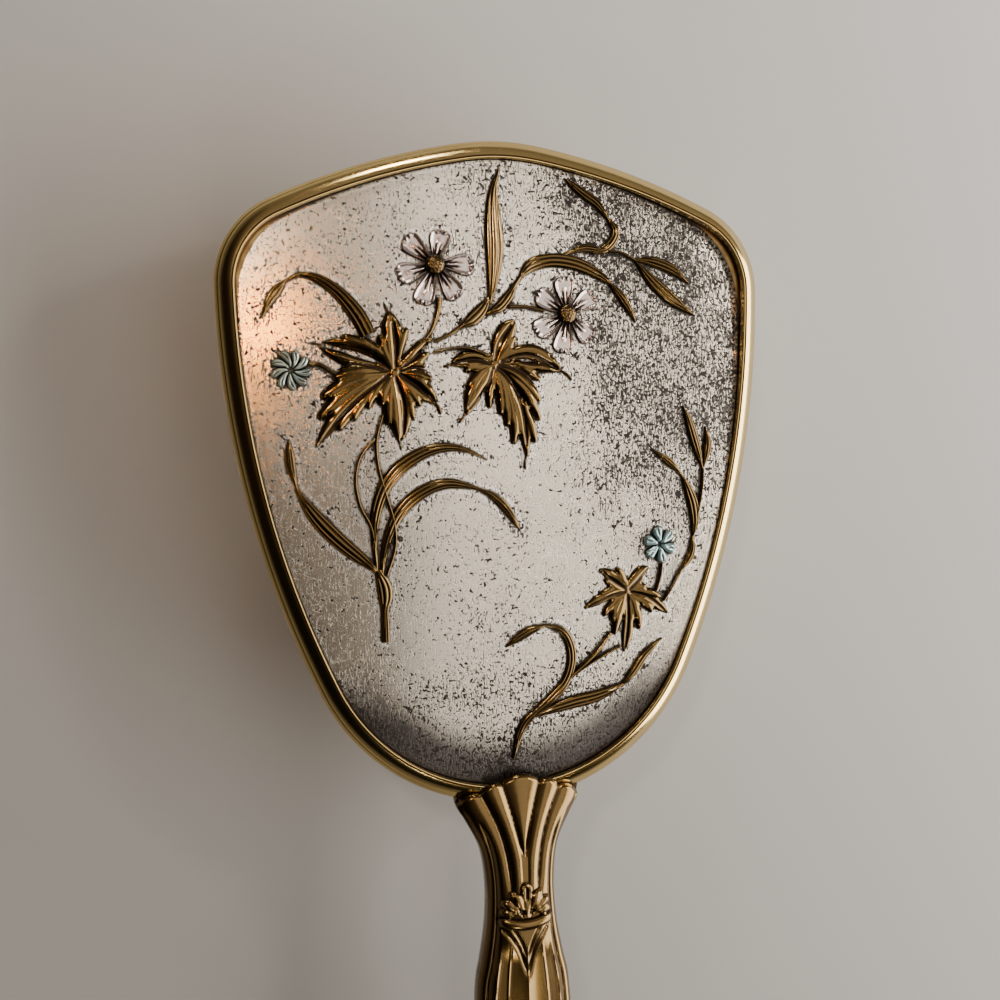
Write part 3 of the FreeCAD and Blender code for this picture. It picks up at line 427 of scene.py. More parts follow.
def strip(shell, spine, rise, section, base=plate_z, across=13, sink=0.3, per_segment=8):
    """A closed raised strip on the base surface. section(v, t, half) gives (height share, hollow)."""
    line = smooth_line(spine, per_segment)
    x, y, half = line[:, 0], line[:, 1], np.maximum(line[:, 2], 0.03)
    tx, ty = np.gradient(x), np.gradient(y)
    length = np.hypot(tx, ty)
    nx, ny = -ty / length, tx / length
    t = np.concatenate([[0], np.cumsum(np.hypot(np.diff(x), np.diff(y)))])
    t = (t / t[-1])[:, None]
    v = np.linspace(-1, 1, across)[None, :]
    gx = x[:, None] + nx[:, None] * half[:, None] * v
    gy = y[:, None] + ny[:, None] * half[:, None] * v
    height, hollow = section(v, t, half[:, None])
    floor = base(gx, gy)
    top = stacked(gx, gy, floor + rise * height)
    ends = [0, across - 1]
    foot = stacked(gx[:, ends], gy[:, ends], floor[:, ends] - sink)
    ring = np.concatenate([foot[:, :1], top, foot[:, 1:]], axis=1)
    side = np.ones((len(x), 1))
    dark = np.concatenate([side, np.broadcast_to(hollow, gx.shape), side], axis=1)
    shell.add(ring, capped_tube(*ring.shape[:2]), dark)


def blade_section(v, t, half):
    """Three soft ridges side by side, with finer veins on a broad blade."""
    broad = smoothstep(0.3, 0.7, half)
    round_top = 0.25 + 0.75 * np.sqrt(unit(1 - v ** 2))
    groove = bell(np.abs(v) - 0.36, 0.13)
    height = round_top * (1 - 0.24 * groove * broad) * (0.55 + 0.45 * smoothstep(0.12, 0.6, half))
    hollow = 0.5 * groove * broad + 0.6 * smoothstep(0.84, 1, np.abs(v))
    return height, unit(hollow)


def stem_section(v, t, half):
    return 0.2 + 0.8 * np.sqrt(unit(1 - v ** 2)), 0.8 * smoothstep(0.6, 1, np.abs(v))


def nearest(points, marks):
    """Each point's distance to the nearest mark, less the mark's own radius if it has one."""
    gap = np.empty(len(points))
    for start in range(0, len(points), 4000):
        part = points[start:start + 4000]
        away = np.hypot(part[:, None, 0] - marks[None, :, 0], part[:, None, 1] - marks[None, :, 1])
        if marks.shape[1] == 3:
            away = away - marks[None, :, 2]
        gap[start:start + 4000] = away.min(axis=1)
    return gap


def lobule_circles(base_x, base_y, tip_x, tip_y, half_width, bend, blunt):
    """A lobule as a row of overlapping circles (x, y, radius)."""
    t = np.linspace(0, 1, 60)
    length = math.hypot(tip_x - base_x, tip_y - base_y)
    lift = bend * 4 * t * (1 - t)
    x = base_x + (tip_x - base_x) * t - (tip_y - base_y) / length * lift
    y = base_y + (tip_y - base_y) * t + (tip_x - base_x) / length * lift
    swell = np.interp(t, [0, 0.3, 0.7, 0.88, 1], [0.4, 0.78, 1, 0.5 + 0.5 * blunt, blunt])
    radius = half_width * swell
    pull = 0.6 * half_width * blunt / length
    return stacked(x - (tip_x - base_x) * pull * t, y - (tip_y - base_y) * pull * t, radius)


def leaf_field(xy, leaf):
    """At each point: how far inside a lobule it is (0 on the outline, 1 on a crest), the lobules' height, the
    valleys between them and the distance to the nearest rib."""
    depth, sizes = [], []
    cx, cy = leaf["centre"]
    for lobule in leaf["lobules"] + [(cx - 0.5, cy, cx + 0.5, cy + 0.1, leaf["middle"], 0, 1)]:
        circles = lobule_circles(*lobule)
        away = np.hypot(xy[:, None, 0] - circles[None, :, 0], xy[:, None, 1] - circles[None, :, 1])
        depth.append(1 - (away / circles[None, :, 2]).min(axis=1))
        sizes.append(0.55 + 0.45 * float(smoothstep(0.2, 1, lobule[4])))
    depth = np.array(depth)
    best = depth.max(axis=0)
    weight = np.exp(BLEND * (depth - best))
    inside = best + np.log(weight.sum(axis=0)) / BLEND * smoothstep(0, 0.3, best)
    size = (weight * np.array(sizes)[:, None]).sum(axis=0) / weight.sum(axis=0)
    ranked = np.sort(depth, axis=0)
    valleys = bell(ranked[-1] - ranked[-2], 0.07) * fade(0.55, 0.9, ranked[-1])
    across = (1 - unit(inside)) ** 2
    crest = size * (0.45 * np.sqrt(1 - across) + 0.55 * (1 - across))
    rib_gap = np.min([nearest(xy, smooth_line(rib, 24)) for rib in leaf["ribs"]], axis=0)
    return best, crest, valleys, rib_gap


def leaf_mesh(shell, leaf, base=plate_z, sink=0.45, grid=LEAF_GRID):
    """A closed sheet over the leaf's outline, its border points moved exactly onto the outline."""
    ends = np.vstack([lobule_circles(*lobule) for lobule in leaf["lobules"]])
    low, high = ends[:, :2].min(axis=0) - 1.5, ends[:, :2].max(axis=0) + 1.5
    columns, rows = (int(v) + 1 for v in (high - low) / grid)
    gx, gy = np.meshgrid(low[0] + grid * np.arange(columns), low[1] + grid * np.arange(rows))
    xy = stacked(gx.ravel(), gy.ravel())
    inside, crest, valleys, rib_gap = leaf_field(xy, leaf)
    field = inside.reshape(rows, columns)
    slope_y, slope_x = np.gradient(field, grid)
    steep = np.maximum(slope_x ** 2 + slope_y ** 2, 0.05)
    out = field.ravel() <= 0
    step = unit(-field / steep).ravel()
    xy[out] += (stacked(slope_x.ravel(), slope_y.ravel()) * step[:, None])[out]
    cells = np.array(grid_faces(rows, columns))
    kept = cells[(~out)[cells].any(axis=1)]
    used = np.unique(kept)
    number = np.full(rows * columns, -1)
    number[used] = np.arange(len(used))
    is_border = out[used]
    floor = base(xy[used, 0], xy[used, 1])
    gap = nearest(xy[used], xy[used][is_border])
    cushion = np.sqrt(1 - (1 - unit(gap / CUSHION_WIDTH)) ** 2)
    merged = leaf["merged"]
    body = merged * 0.92 * cushion + (1 - merged) * crest[used]
    narrow, wide = bell(rib_gap[used], RIB_WIDTH), bell(rib_gap[used], RIB_DIP_WIDTH)
    from_centre = np.hypot(xy[used, 0] - leaf["centre"][0], xy[used, 1] - leaf["centre"][1])
    height = body * (0.66 + 0.34 * smoothstep(0.5, 5.5, from_centre)) * (1 - 0.34 * narrow - 0.26 * wide)
    hollow = unit(0.95 * narrow + 0.6 * valleys[used] + 0.35 * fade(0, 0.25, gap))
    top_z = np.where(is_border, floor - sink + 0.15, floor + leaf["rise"] * np.maximum(height, 0.05))
    n = len(used)
    below = np.where(is_border, number[used], n + np.cumsum(~is_border) - 1)
    bottom = stacked(xy[used, 0], xy[used, 1], floor - sink)[~is_border]
    top_faces = number[kept]
    bottom_faces = below[top_faces[:, ::-1]]
    all_border = is_border[top_faces].all(axis=1)
    faces = top_faces[~all_border].tolist() + bottom_faces[~all_border].tolist()
    verts = np.concatenate([stacked(xy[used, 0], xy[used, 1], top_z), bottom])
    shell.add(verts, faces, np.concatenate([np.where(is_border, 1, hollow), np.ones(len(bottom))]))


# ---- materials

class Field:
    """A value worked out by nodes. Sums, differences and products of fields and numbers make Math nodes."""

    def __init__(self, socket):
        self.socket = socket
        self.tree = socket.id_data

    def maths(self, operation, a, b, clamp=False):
        return add_node(self.tree, "Math", "Value", {0: a, 1: b}, operation=operation, use_clamp=clamp)

    def __add__(self, other):
        return self.maths("ADD", self, other)

    def __radd__(self, other):
        return self.maths("ADD", other, self)

    def __sub__(self, other):
        return self.maths("SUBTRACT", self, other)

    def __rsub__(self, other):
        return self.maths("SUBTRACT", other, self)

    def __mul__(self, other):
        return self.maths("MULTIPLY", self, other)


def put(socket, value):
    """Link an input to a field, or set it to a number or colour."""
    if isinstance(value, Field):
        value.tree.links.new(value.socket, socket)
    else:
        socket.default_value = (*value, 1) if socket.type == "RGBA" else value


def add_node(tree, kind, output, inputs, **settings):
    """A new node's output as a field."""
    made = tree.nodes.new("ShaderNode" + kind)
    for name, value in settings.items():
        setattr(made, name, value)
    for key, value in inputs.items():
        put(made.inputs[key], value)
    return Field(made.outputs[output])


def noise(place, scale, detail=3, roughness=0.55, distortion=0):
    """A cloudy field between 0 and 1, finer where scale is larger."""
    inputs = {"Vector": place, "Scale": scale, "Detail": detail, "Roughness": roughness,
              "Distortion": distortion}
    return add_node(place.tree, "TexNoise", "Fac", inputs)


def ramp(value, *stops):
    """A field through a colour ramp, given as (position, grey level or colour)."""
    made = value.tree.nodes.new("ShaderNodeValToRGB")
    elements = made.color_ramp.elements
    while len(elements) < len(stops):
        elements.new(0.5)
    for element, (position, colour) in zip(elements, stops):
        element.position = position
        element.color = (*grey(colour), 1)
    put(made.inputs["Fac"], value)
    return Field(made.outputs["Color"])


def grey(tone):
    """A colour from a grey level, or the colour itself."""
    return tone if isinstance(tone, tuple) else (tone, tone, tone)


def largest(a, b):
    return a.maths("MAXIMUM", a, b)


def mix(factor, a, b):
    return add_node(factor.tree, "Mix", 2, {0: factor, 6: a, 7: b}, data_type="RGBA")


class Paint:
    """A material being put together."""

    def __init__(self, name):
        self.material = bpy.data.materials.new(name)
        self.material.use_nodes = True
        self.tree = self.material.node_tree
        self.surface = self.tree.nodes["Principled BSDF"]

    def place(self, *stretch, **settings):
        """Object coordinates in millimetres, stretched along x, y and z."""
        here = add_node(self.tree, "TexCoord", "Object", {})
        scale = [s / MM for s in stretch + (1, 1, 1)[len(stretch):]]
        return add_node(self.tree, "Mapping", "Vector", {"Vector": here, "Scale": scale}, **settings)

    def channel(self, name):
        """A number kept on the mesh's vertices."""
        return add_node(self.tree, "Attribute", "Fac", {}, attribute_name=name)

    def crevices(self, reach_mm):
        """0 in the open, 1 in a crevice narrower than reach_mm."""
        light = add_node(self.tree, "AmbientOcclusion", "AO", {"Distance": reach_mm * MM}, samples=8)
        return light.maths("SUBTRACT", 1, light, clamp=True)

    def finish(self, inputs, height=None, strength=0, distance_mm=0):
        """The material with its surface's inputs filled in, and a bump of the height field."""
        for name, value in inputs.items():
            put(self.surface.inputs[name], value)
        if height:
            bump = {"Height": height, "Strength": strength, "Distance": distance_mm * MM}
            put(self.surface.inputs["Normal"], add_node(self.tree, "Bump", "Normal", bump))
        return self.material


def aged_gilt(name, bright, dark, roughness, hollow_weight, reach_mm, wear=0.2, gloss=0):
    """Polished gilt with brown patina in its hollows and faint wear."""
    paint = Paint(name)
    place = paint.place()
    hollows = paint.channel("hollow") * hollow_weight + paint.crevices(reach_mm) * 1.15
    patina = ramp(hollows + (noise(place, 0.35, 4) - 0.5) * 0.5, (0.1, 0), (0.75, 1))
    tint = mix(noise(place, 0.12, 2), tuple(0.78 * c for c in bright), bright)
    scuffs = noise(paint.place(2.5, 0.5, 2.5), 2, 4, 0.7) - 0.5
    return paint.finish({"Base Color": mix(patina, tint, dark), "Metallic": 1,
                         "Roughness": roughness + patina * 0.22 + scuffs * wear,
                         "Coat Weight": gloss, "Coat Roughness": 0.05},
                        noise(place, 0.9, 5, 0.65), 0.7 * wear, 0.12)


def old_silver_plate():
    """Upright-brushed silver plate: dark specks and scratches, thick where the tarnish channel says."""
    paint = Paint("old_silver_plate")
    place = paint.place()
    clusters = (noise(place, 0.13) - 0.5) * 1.1
    density = largest(paint.channel("tarnish") + clusters + paint.channel("hollow") * 0.45 + 0.42, 0)
    streaks = noise(paint.place(4.2, 0.8), 1, 3, 0.6)
    specks = noise(paint.place(1.1), 2.3, 2, 0.5)
    brushing = noise(paint.place(9, 0.22), 1, 3, 0.6)
    closeness = paint.crevices(1.1)
    pits = ramp(specks + density * 0.145, (0.715, 0), (0.745, 1))
    lines = ramp(streaks + density * 0.18, (0.71, 0), (0.76, 0.9))
    # Painted shade with some real tarnish: dark in the crease round each raised motif, found by ambient
    # occlusion.
    crease_shade_and_tarnish = ramp(closeness + (specks - 0.5) * 0.5, (0.25, 0), (0.36, 0.95))
    blots = ramp(noise(place, 1.15, 3, 0.55, 0.2) + density * 0.06, (0.655, 0), (0.68, 1))
    # Real specks, streaks, scratches and blots, together with the painted crease shade.
    dirt_and_crease_shade = largest(largest(largest(pits, lines), largest(crease_shade_and_tarnish, scratches(paint))), blots)
    # Painted highlight: a pale line just beyond each motif's dark crease, standing in for light caught by an
    # embossed edge.
    painted_emboss_highlight = ramp(closeness, (0.05, 0), (0.1, 0.7), (0.17, 0.7), (0.23, 0))
    veil = density.maths("MULTIPLY", density, 0.42, clamp=True)
    colour = mix(brushing, (0.6, 0.515, 0.405), (0.82, 0.725, 0.585))
    # Layers over the brushed silver: tarnish veil, a painted highlight beside the motifs, a painted dark
    # reflection along the bottom that is partly real tarnish, and dirt with painted crease shade.
    for cover, tone in ((veil, (0.34, 0.315, 0.285)), (painted_emboss_highlight, (0.92, 0.83, 0.75)),
                        (paint.channel("dark_reflection_and_tarnish"), (0.068, 0.059, 0.054)), (dirt_and_crease_shade, (0.02, 0.016, 0.014))):
        colour = mix(cover, colour, tone)
    return paint.finish({"Base Color": colour, "Specular IOR Level": 0.5 - dirt_and_crease_shade * 0.42,
                         "Metallic": 1 - dirt_and_crease_shade * 0.5, "Roughness": brushing * 0.14 + dirt_and_crease_shade * 0.25 + 0.14},
                        brushing * 0.35 - dirt_and_crease_shade, 0.4, 0.05)


def scratches(paint):
    """A few long thin scratches running mostly across."""
    marks = []
    here = add_node(paint.tree, "TexCoord", "Object", {})
    for degrees, shift in ((8, 0), (-24, 31)):
        inputs = {"Vector": here, "Rotation": (0, 0, math.radians(degrees)),
                  "Location": (shift * MM, shift * MM, 0), "Scale": (4 * MM, 0.16 * MM, MM)}
        turned = add_node(paint.tree, "Mapping", "Vector", inputs, vector_type="TEXTURE")
        marks.append(ramp(noise(turned, 1, 2, 0.5), (0.71, 0), (0.75, 0.85)))
    return largest(*marks)


def bright_petal():
    paint = Paint("bright_petal")
    place = paint.place()
    # Dark in the engraved lines, along the petal's edges and near its base: real tarnish, with painted shade
    # in the crevices from ambient occlusion.
    hollows = paint.channel("hollow") + paint.crevices(0.5) * 0.9 + (noise(place, 1.2) - 0.5) * 0.4
    dirt_and_crease_shade = ramp(hollows, (0.35, 0), (0.85, 1))
    return paint.finish({"Base Color": mix(dirt_and_crease_shade, (0.5, 0.405, 0.37), (0.022, 0.017, 0.014)),
                         "Metallic": 0.9, "Roughness": 0.24}, noise(place, 2.2, 4), 0.2, 0.08)


def blue_enamel():
    """Glossy enamel, greyer and darker where the worn channel is 1."""
    paint = Paint("blue_enamel")
    place = paint.place()
    hollows = ramp(paint.channel("hollow") + paint.crevices(0.5) * 0.8, (0.28, 0), (0.75, 1))
    cloud = noise(place, 0.9)
    tint = mix(paint.channel("worn"), mix(cloud, (0.08, 0.15, 0.155), (0.36, 0.49, 0.49)),
               mix(cloud, (0.07, 0.09, 0.08), (0.36, 0.4, 0.35)))
    return paint.finish({"Base Color": mix(hollows, tint, (0.03, 0.04, 0.04)), "Metallic": 0.6,
                         "Roughness": 0.16, "Coat Weight": 0.8, "Coat Roughness": 0.06},
                        noise(place, 1.5), 0.15, 0.08)


def ivory_block():
    paint = Paint("ivory_block")
    place = paint.place()
    # Darker and browner in crevices within 1.5 mm, found by ambient occlusion, and in a random mottle.
    crevice_dark_and_mottle = paint.crevices(1.5) * 0.8 + noise(place, 0.12, 4) * 0.35
    return paint.finish({"Base Color": mix(crevice_dark_and_mottle, (0.8, 0.74, 0.61), (0.52, 0.42, 0.27)), "Roughness": 0.34},
                        noise(place, 0.8, 4), 0.1, 0.1)


def pale_bristle():
    paint = Paint("pale_bristle")
    along = paint.place(1, 1, 0.05)
    tint = mix(noise(along, 1.3, 2), (0.66, 0.58, 0.42), (0.86, 0.8, 0.66))
    return paint.finish({"Base Color": tint, "Roughness": 0.42, "Subsurface Weight": 0.15,
                         "Subsurface Radius": (0.001, 0.0008, 0.0005)}, noise(along, 3, 2), 0.1, 0.05)


def plain_inner(name, colour, metallic, roughness):
    paint = Paint(name)
    tint = mix(noise(paint.place(), 0.4, 4), tuple(0.7 * c for c in colour), colour)
    return paint.finish({"Base Color": tint, "Metallic": metallic, "Roughness": roughness})


GILT = aged_gilt("polished_gilt", (0.155, 0.092, 0.028), (0.022, 0.01, 0.004), 0.24, 0.7, 0.7, 0.16, 0.25)
RIM_GILT = aged_gilt("rim_gilt", (0.74, 0.53, 0.21), (0.07, 0.03, 0.01), 0.15, 0.6, 0.5, 0.08)
LEAF_GILT = aged_gilt("leaf_gilt", (0.118, 0.068, 0.016), (0.016, 0.007, 0.003), 0.16, 0.7, 0.6, 0.2, 0.3)
SILVER = old_silver_plate()
PETAL = bright_petal()
ENAMEL = blue_enamel()
IVORY = ivory_block()
BRISTLE = pale_bristle()
STEEL = plain_inner("plain_steel", (0.55, 0.56, 0.58), 1, 0.35)
WOOD = plain_inner("plain_wood", (0.5, 0.36, 0.22), 0, 0.6)
PITCH = plain_inner("dark_pitch", (0.1, 0.08, 0.07), 0, 0.7)


# ---- applied ornament

def make_leaf(node, leaf):
    shell = Shell()
    leaf_mesh(shell, leaf)
    shell.finish(node + "_gilt", LEAF_GILT, "gilt_leaf", node, 75)


def make_strips(node, spines):
    """Blades, a little fuller than their outlines, and the thin stems between them."""
    shell = Shell()
    for spine in spines:
        is_stem = max(half for _, _, half in spine) < STEM_HALF
        spine = [(x, y, half * (1 + 0.15 * float(smoothstep(0.3, 0.7, half)))) for x, y, half in spine]
        section, across = (stem_section, 11) if is_stem else (blade_section, 17)
        strip(shell, spine, STRIP_RISE, section, across=across)
    shell.finish(node + "_gilt", LEAF_GILT, "gilt_leaf", node)


def petal(shell, cx, cy, degrees, length):
    """A notched petal with a raised rim, a folded middle and engraved lines."""
    u = np.linspace(0.14, 1, 18)[:, None]
    v = np.linspace(-1, 1, 19)[None, :]
    half = PETAL_HALF_WIDTH * np.interp(u, [0.14, 0.4, 0.68, 0.86, 0.95, 1],
                                        [0.2, 0.56, 0.94, 1, 0.86, 0.55])
    reach = length * u * (1 - 0.055 * u ** 8 * (1 - np.cos(3 * math.pi * v)))
    side = half * v - 0.35 * u ** 2
    angle = math.radians(degrees)
    gx = cx + reach * math.cos(angle) - side * math.sin(angle)
    gy = cy + reach * math.sin(angle) + side * math.cos(angle)
    lines = bell(np.abs(v) - 0.26, 0.09) * fade(0.5, 0.72, u)
    lines = lines + 0.8 * bell(np.abs(v) - 0.6, 0.09) * fade(0.4, 0.56, u)
    edge = smoothstep(0.62, 0.84, np.maximum(np.abs(v), u ** 4)) * fade(0.96, 1, np.abs(v))
    height = 0.3 + 0.34 * edge + 0.16 * bell(v, 0.2) * fade(0.6, 0.85, u) - 0.2 * lines
    floor = plate_z(gx, gy)
    top = stacked(gx, gy, floor + height)
    rows, columns = top.shape[:2]
    inner = fade(0.45, 0.7, np.abs(v)) * fade(0.55, 0.85, u)
    dark = 0.95 * lines + smoothstep(0.9, 1, np.abs(v)) + 0.7 * fade(0.14, 0.4, u) + 0.3 * inner
    dark = unit(dark + 0.8 * smoothstep(0.97, 1, u))
    verts = np.concatenate([top.reshape(-1, 3), stacked(gx, gy, floor - 0.3).reshape(-1, 3)])
    n = rows * columns
    faces = grid_faces(rows, columns)
    faces += [[i + n for i in face[::-1]] for face in faces]
    index = np.arange(n).reshape(rows, columns)
    sides = (index[0], index[1:, -1], index[-1, -2::-1], index[-2:0:-1, 0])
    border = np.concatenate(sides).tolist()
    faces += [[a, b, b + n, a + n] for a, b in zip(border, border[1:] + border[:1])]
    shell.add(verts, faces, np.concatenate([dark.ravel(), np.ones(n)]))


def boss(shell, cx, cy):
    """The flower's middle: a low dome covered in small grains."""
    around = 48
    r = np.linspace(0, BOSS_R, 16)[1:, None]
    a = np.linspace(0, 2 * math.pi, around + 1)[None, :-1]
    gx, gy = r * np.cos(a), r * np.sin(a)
    grain_sum = np.zeros_like(gx)
    for k in range(BOSS_GRAINS):
        gr, ga = BOSS_R * 0.92 * math.sqrt((k + 0.5) / BOSS_GRAINS), k * GOLDEN_TURN
        grain_sum += np.exp(-((gx - gr * math.cos(ga)) ** 2 + (gy - gr * math.sin(ga)) ** 2) / 0.17 ** 2)
    height = 0.5 + 0.75 * np.sqrt(unit(1 - (r / (BOSS_R * 1.02)) ** 2)) + 0.12 * grain_sum
    floor = plate_z(gx + cx, gy + cy)
    rings = stacked(gx + cx, gy + cy, floor + height)
    foot = stacked(gx[-1] + cx, gy[-1] + cy, floor[-1] - 0.3)[None]
    rings = np.concatenate([rings, foot])
    verts = np.concatenate([rings.reshape(-1, 3), [[cx, cy, float(plate_z(cx, cy)) + 1.3]]])
    faces = grid_faces(len(rings), around, wrap_columns=True)
    faces += [[len(verts) - 1, (c + 1) % around, c] for c in range(around)]
    faces.append([(len(rings) - 1) * around + c for c in range(around)])
    dark = np.concatenate([unit(0.75 - grain_sum).ravel(), np.ones(around), [0.5]])
    shell.add(verts, faces, dark)


def make_silver_flowers():
    middles = Shell()
    for node, (cx, cy, petals) in SILVER_FLOWERS.items():
        shell = Shell()
        for degrees, length in petals:
            petal(shell, cx, cy, degrees, length)
        shell.finish(node + "_petals", PETAL, "silver_petal", node, 50)
        boss(middles, cx, cy)
    middles.finish("flower_middles", LEAF_GILT, "gilt_leaf", "flower_bosses")


def enamel_section(v, t, half):
    ends = smoothstep(0, 0.15, t) * (1 - 0.55 * smoothstep(0.86, 1, t))
    height = (0.15 + 0.85 * np.sqrt(unit(1 - v ** 2))) * (0.4 + 0.6 * ends)
    fold = bell(v, 0.16) * smoothstep(0.25, 0.6, t)
    return height * (1 - 0.26 * fold), unit(smoothstep(0.62, 1, np.abs(v)) + 0.35 * fold)


def make_enamel_flowers():
    for node, (cx, cy, radius, lobes, swirl) in ENAMEL_FLOWERS.items():
        shell = Shell()
        half = 0.92 * math.pi * radius * 0.72 / lobes
        for k in range(lobes):
            angle = math.pi / 2 + 2 * math.pi * (k + 0.12) / lobes
            spine = []
            for reach, share in ((0.12, 0.25), (0.4, 0.62), (0.72, 1), (0.9, 0.9), (1, 0.45)):
                bend, away = angle + swirl * reach ** 2, radius * reach
                spine.append((cx + away * math.cos(bend), cy + away * math.sin(bend), half * share))
            strip(shell, spine, 1.05, enamel_section, across=13, per_segment=5)
        shade = np.full(shell.count, 1 if node == "enamel_flower_left" else 0)
        shell.finish(node + "_glazed", ENAMEL, "enamel", node, 50, {"worn": shade})


# ---- head

def ornament_points():
    """Points along every applied strip with its half width, for the dark halo on the plate."""
    rows = []
    for leaf in LEAVES.values():
        rows += [lobule_circles(*lobule)[::6] for lobule in leaf["lobules"]]
    for spines in STRIPS.values():
        rows += [smooth_line(s, 6) for s in spines]
    for cx, cy, petals in SILVER_FLOWERS.values():
        for degrees, length in petals:
            a = math.radians(degrees)
            rows.append(np.array([(cx + r * length * math.cos(a), cy + r * length * math.sin(a), 1.5)
                                  for r in (0.3, 0.5, 0.7, 0.85)]))
    for cx, cy, radius, _, _ in ENAMEL_FLOWERS.values():
        rows.append(np.array([(cx, cy, radius)]))
    return np.vstack(rows)


def make_plate():
    """The domed plate. Its tarnish and halo say where specks and dark outlines lie; a third channel holds a
    painted dark reflection, partly real tarnish, darkest along the bottom and faint in a thin ring at the
    edge.
    """
    rings, around = 130, 420
    edge = outline(PLATE_INSET, around)
    middle = np.array([0, DOME_CENTRE_Y])
    share = np.linspace(1, 0.012, rings)[:, None, None]
    x, y = (middle + share * (edge - middle)[None]).reshape(-1, 2).T
    top = stacked(x, y, plate_z(x, y))
    tarnish = 0.12 + 0.8 * smoothstep(4, 20, x) * smoothstep(-78, -50, y)
    tarnish += 0.5 * smoothstep(-14, 14, x) * smoothstep(-26, -8, y)
    tarnish += 0.35 * smoothstep(-84, -96, y) + 0.2 * bell(x + 3, 12) * smoothstep(-52, -75, y)
    tarnish += 0.12 * smoothstep(-14, -5, y)
    edge_share = np.repeat(share.ravel(), around)
    halo = fade(0.2, 2.6, nearest(top, ornament_points())) * (1 - 0.85 * unit(tarnish))
    # Painted dark reflection, partly real tarnish: darkest along the bottom edge, faint in a thin ring all
    # round the edge.
    dark_reflection_and_tarnish = 0.97 * smoothstep(0.8, 0.93, edge_share) * smoothstep(-85, -98, y)
    dark_reflection_and_tarnish += 0.25 * smoothstep(0.95, 1, edge_share)
    shell = Shell()
    verts = np.concatenate([top, [[0, DOME_CENTRE_Y, PLATE_TOP]],
                            stacked(edge[:, 0], edge[:, 1], np.full(around, LEDGE_Z))])
    n = len(top)
    faces = grid_faces(rings, around, wrap_columns=True)
    faces += [[n, (rings - 1) * around + c, (rings - 1) * around + (c + 1) % around] for c in range(around)]
    faces += [[c, n + 1 + c, n + 1 + (c + 1) % around, (c + 1) % around] for c in range(around)]
    faces.append([n + 1 + c for c in range(around)])
    rest = around + 1
    shell.add(verts, faces, np.concatenate([halo, np.zeros(rest)]))
    extra = {"tarnish": np.concatenate([unit(tarnish), np.zeros(rest)]),
             "dark_reflection_and_tarnish": np.concatenate([unit(dark_reflection_and_tarnish), np.zeros(rest)])}
    shell.finish("silver_back", SILVER, "silver_plate", "back_plate", 50, extra)


def make_rim():
    """A band sloping down outwards from a thin lip next to the plate, over a wall that tapers in below. Its
    closed profile, (inset, z, hollow), is swept round the head."""
    profile = [(4.2, RIM_BOTTOM + 0.5, 0.6), (4.2, RIM_BOTTOM + 0.1, 0.3), (3.9, RIM_BOTTOM, 0.1),
               (2.7, RIM_BOTTOM, 0), (2.35, RIM_BOTTOM + 0.15, 0), (2.1, RIM_BOTTOM + 0.5, 0.2),
               (1.95, RIM_BOTTOM + 1.2, 0.1), (1.35, 22, 0), (0.9, 23.3, 0.1), (0.45, 24.05, 0.1),
               (0.14, 24.55, 0), (0.02, 25, 0)]
    band, shoulder = 2.66, 25.25
    for inset in np.linspace(0.04, band, 22):
        rise = 1 - (1 - inset / (band + 0.5)) ** 1.75
        line = 0.1 * bell(inset - 0.62, 0.06)
        profile.append((inset, shoulder + (RIM_TOP - shoulder) * rise - line, 4 * line))
    profile += [(2.74, 27.05, 0.7), (2.8, 27.02, 0.8), (2.86, 27.08, 0.4), (2.93, 27.16, 0),
                (3.03, 27.15, 0), (3.13, 26.98, 0), (3.2, 26.6, 0.2), (3.25, 26.1, 0.9),
                (3.26, 25.2, 1), (4.8, LEDGE_Z - 0.05, 1), (4.8, LEDGE_Z - 0.8, 1)]
    profile, around = np.array(profile), 720
    base = outline(0, around)
    away = outward(base)
    xy = base[:, None, :] - away[:, None, :] * profile[None, :, 0, None]
    z = np.broadcast_to(profile[None, :, 1, None], (around, len(profile), 1))
    total = around * len(profile)
    faces = [[i % total for i in face] for face in grid_faces(around + 1, len(profile), wrap_columns=True)]
    shell = Shell()
    shell.add(np.concatenate([xy, z], axis=2), faces, np.tile(profile[:, 2], around))
    shell.finish("gilt_rim", RIM_GILT, "gilt", "rim", 50)


# ---- bristles

def field_sites():
    """A staggered grid of tufts inside the border row."""
    pitch = 6.2
    sites = []
    for row in range(-12, 13):
        for column in range(-12, 13):
            sites.append((pitch * (column + 0.5 * (row % 2)), DOME_CENTRE_Y + row * pitch * math.sqrt(3) / 2))
    sites = np.array(sites)
    return sites[inside_outline(sites, 13.8)]


def make_tufts(name, sites, tip_z, node):
    """Every tuft as separate filaments that spread a little from hole to tip."""
    filaments, sides = 24, 5
    shell = Shell()
    heights = np.array([BLOCK_FACE + 0.4, BLOCK_FACE * 0.5, tip_z])
    turn = np.arange(sides) * 2 * math.pi / sides
    faces = capped_tube(len(heights), sides)
    for x, y in sites:
        for k in range(filaments):
            spread = math.sqrt((k + 0.5) / filaments)
            angle = k * GOLDEN_TURN + rng.uniform(-0.25, 0.25)
            root, tip = 0.95 * spread, (1.72 + rng.uniform(-0.12, 0.15)) * spread
            shorter = rng.uniform(0, 0.35)
            rings = []
            for z, reach in zip(heights, (root, 0.45 * root + 0.5 * tip, tip)):
                cx, cy = x + reach * math.cos(angle), y + reach * math.sin(angle)
                zz = z + shorter if z == tip_z and k % 6 else z
                radius = 0.125 if z != tip_z else 0.1
                ring_x, ring_y = cx + radius * np.cos(turn), cy + radius * np.sin(turn)
                rings.append(stacked(ring_x, ring_y, np.full(sides, zz)))
            shell.add(np.concatenate(rings), faces)
    shell.finish(name, BRISTLE, "bristle", node, 60)


# ---- handle

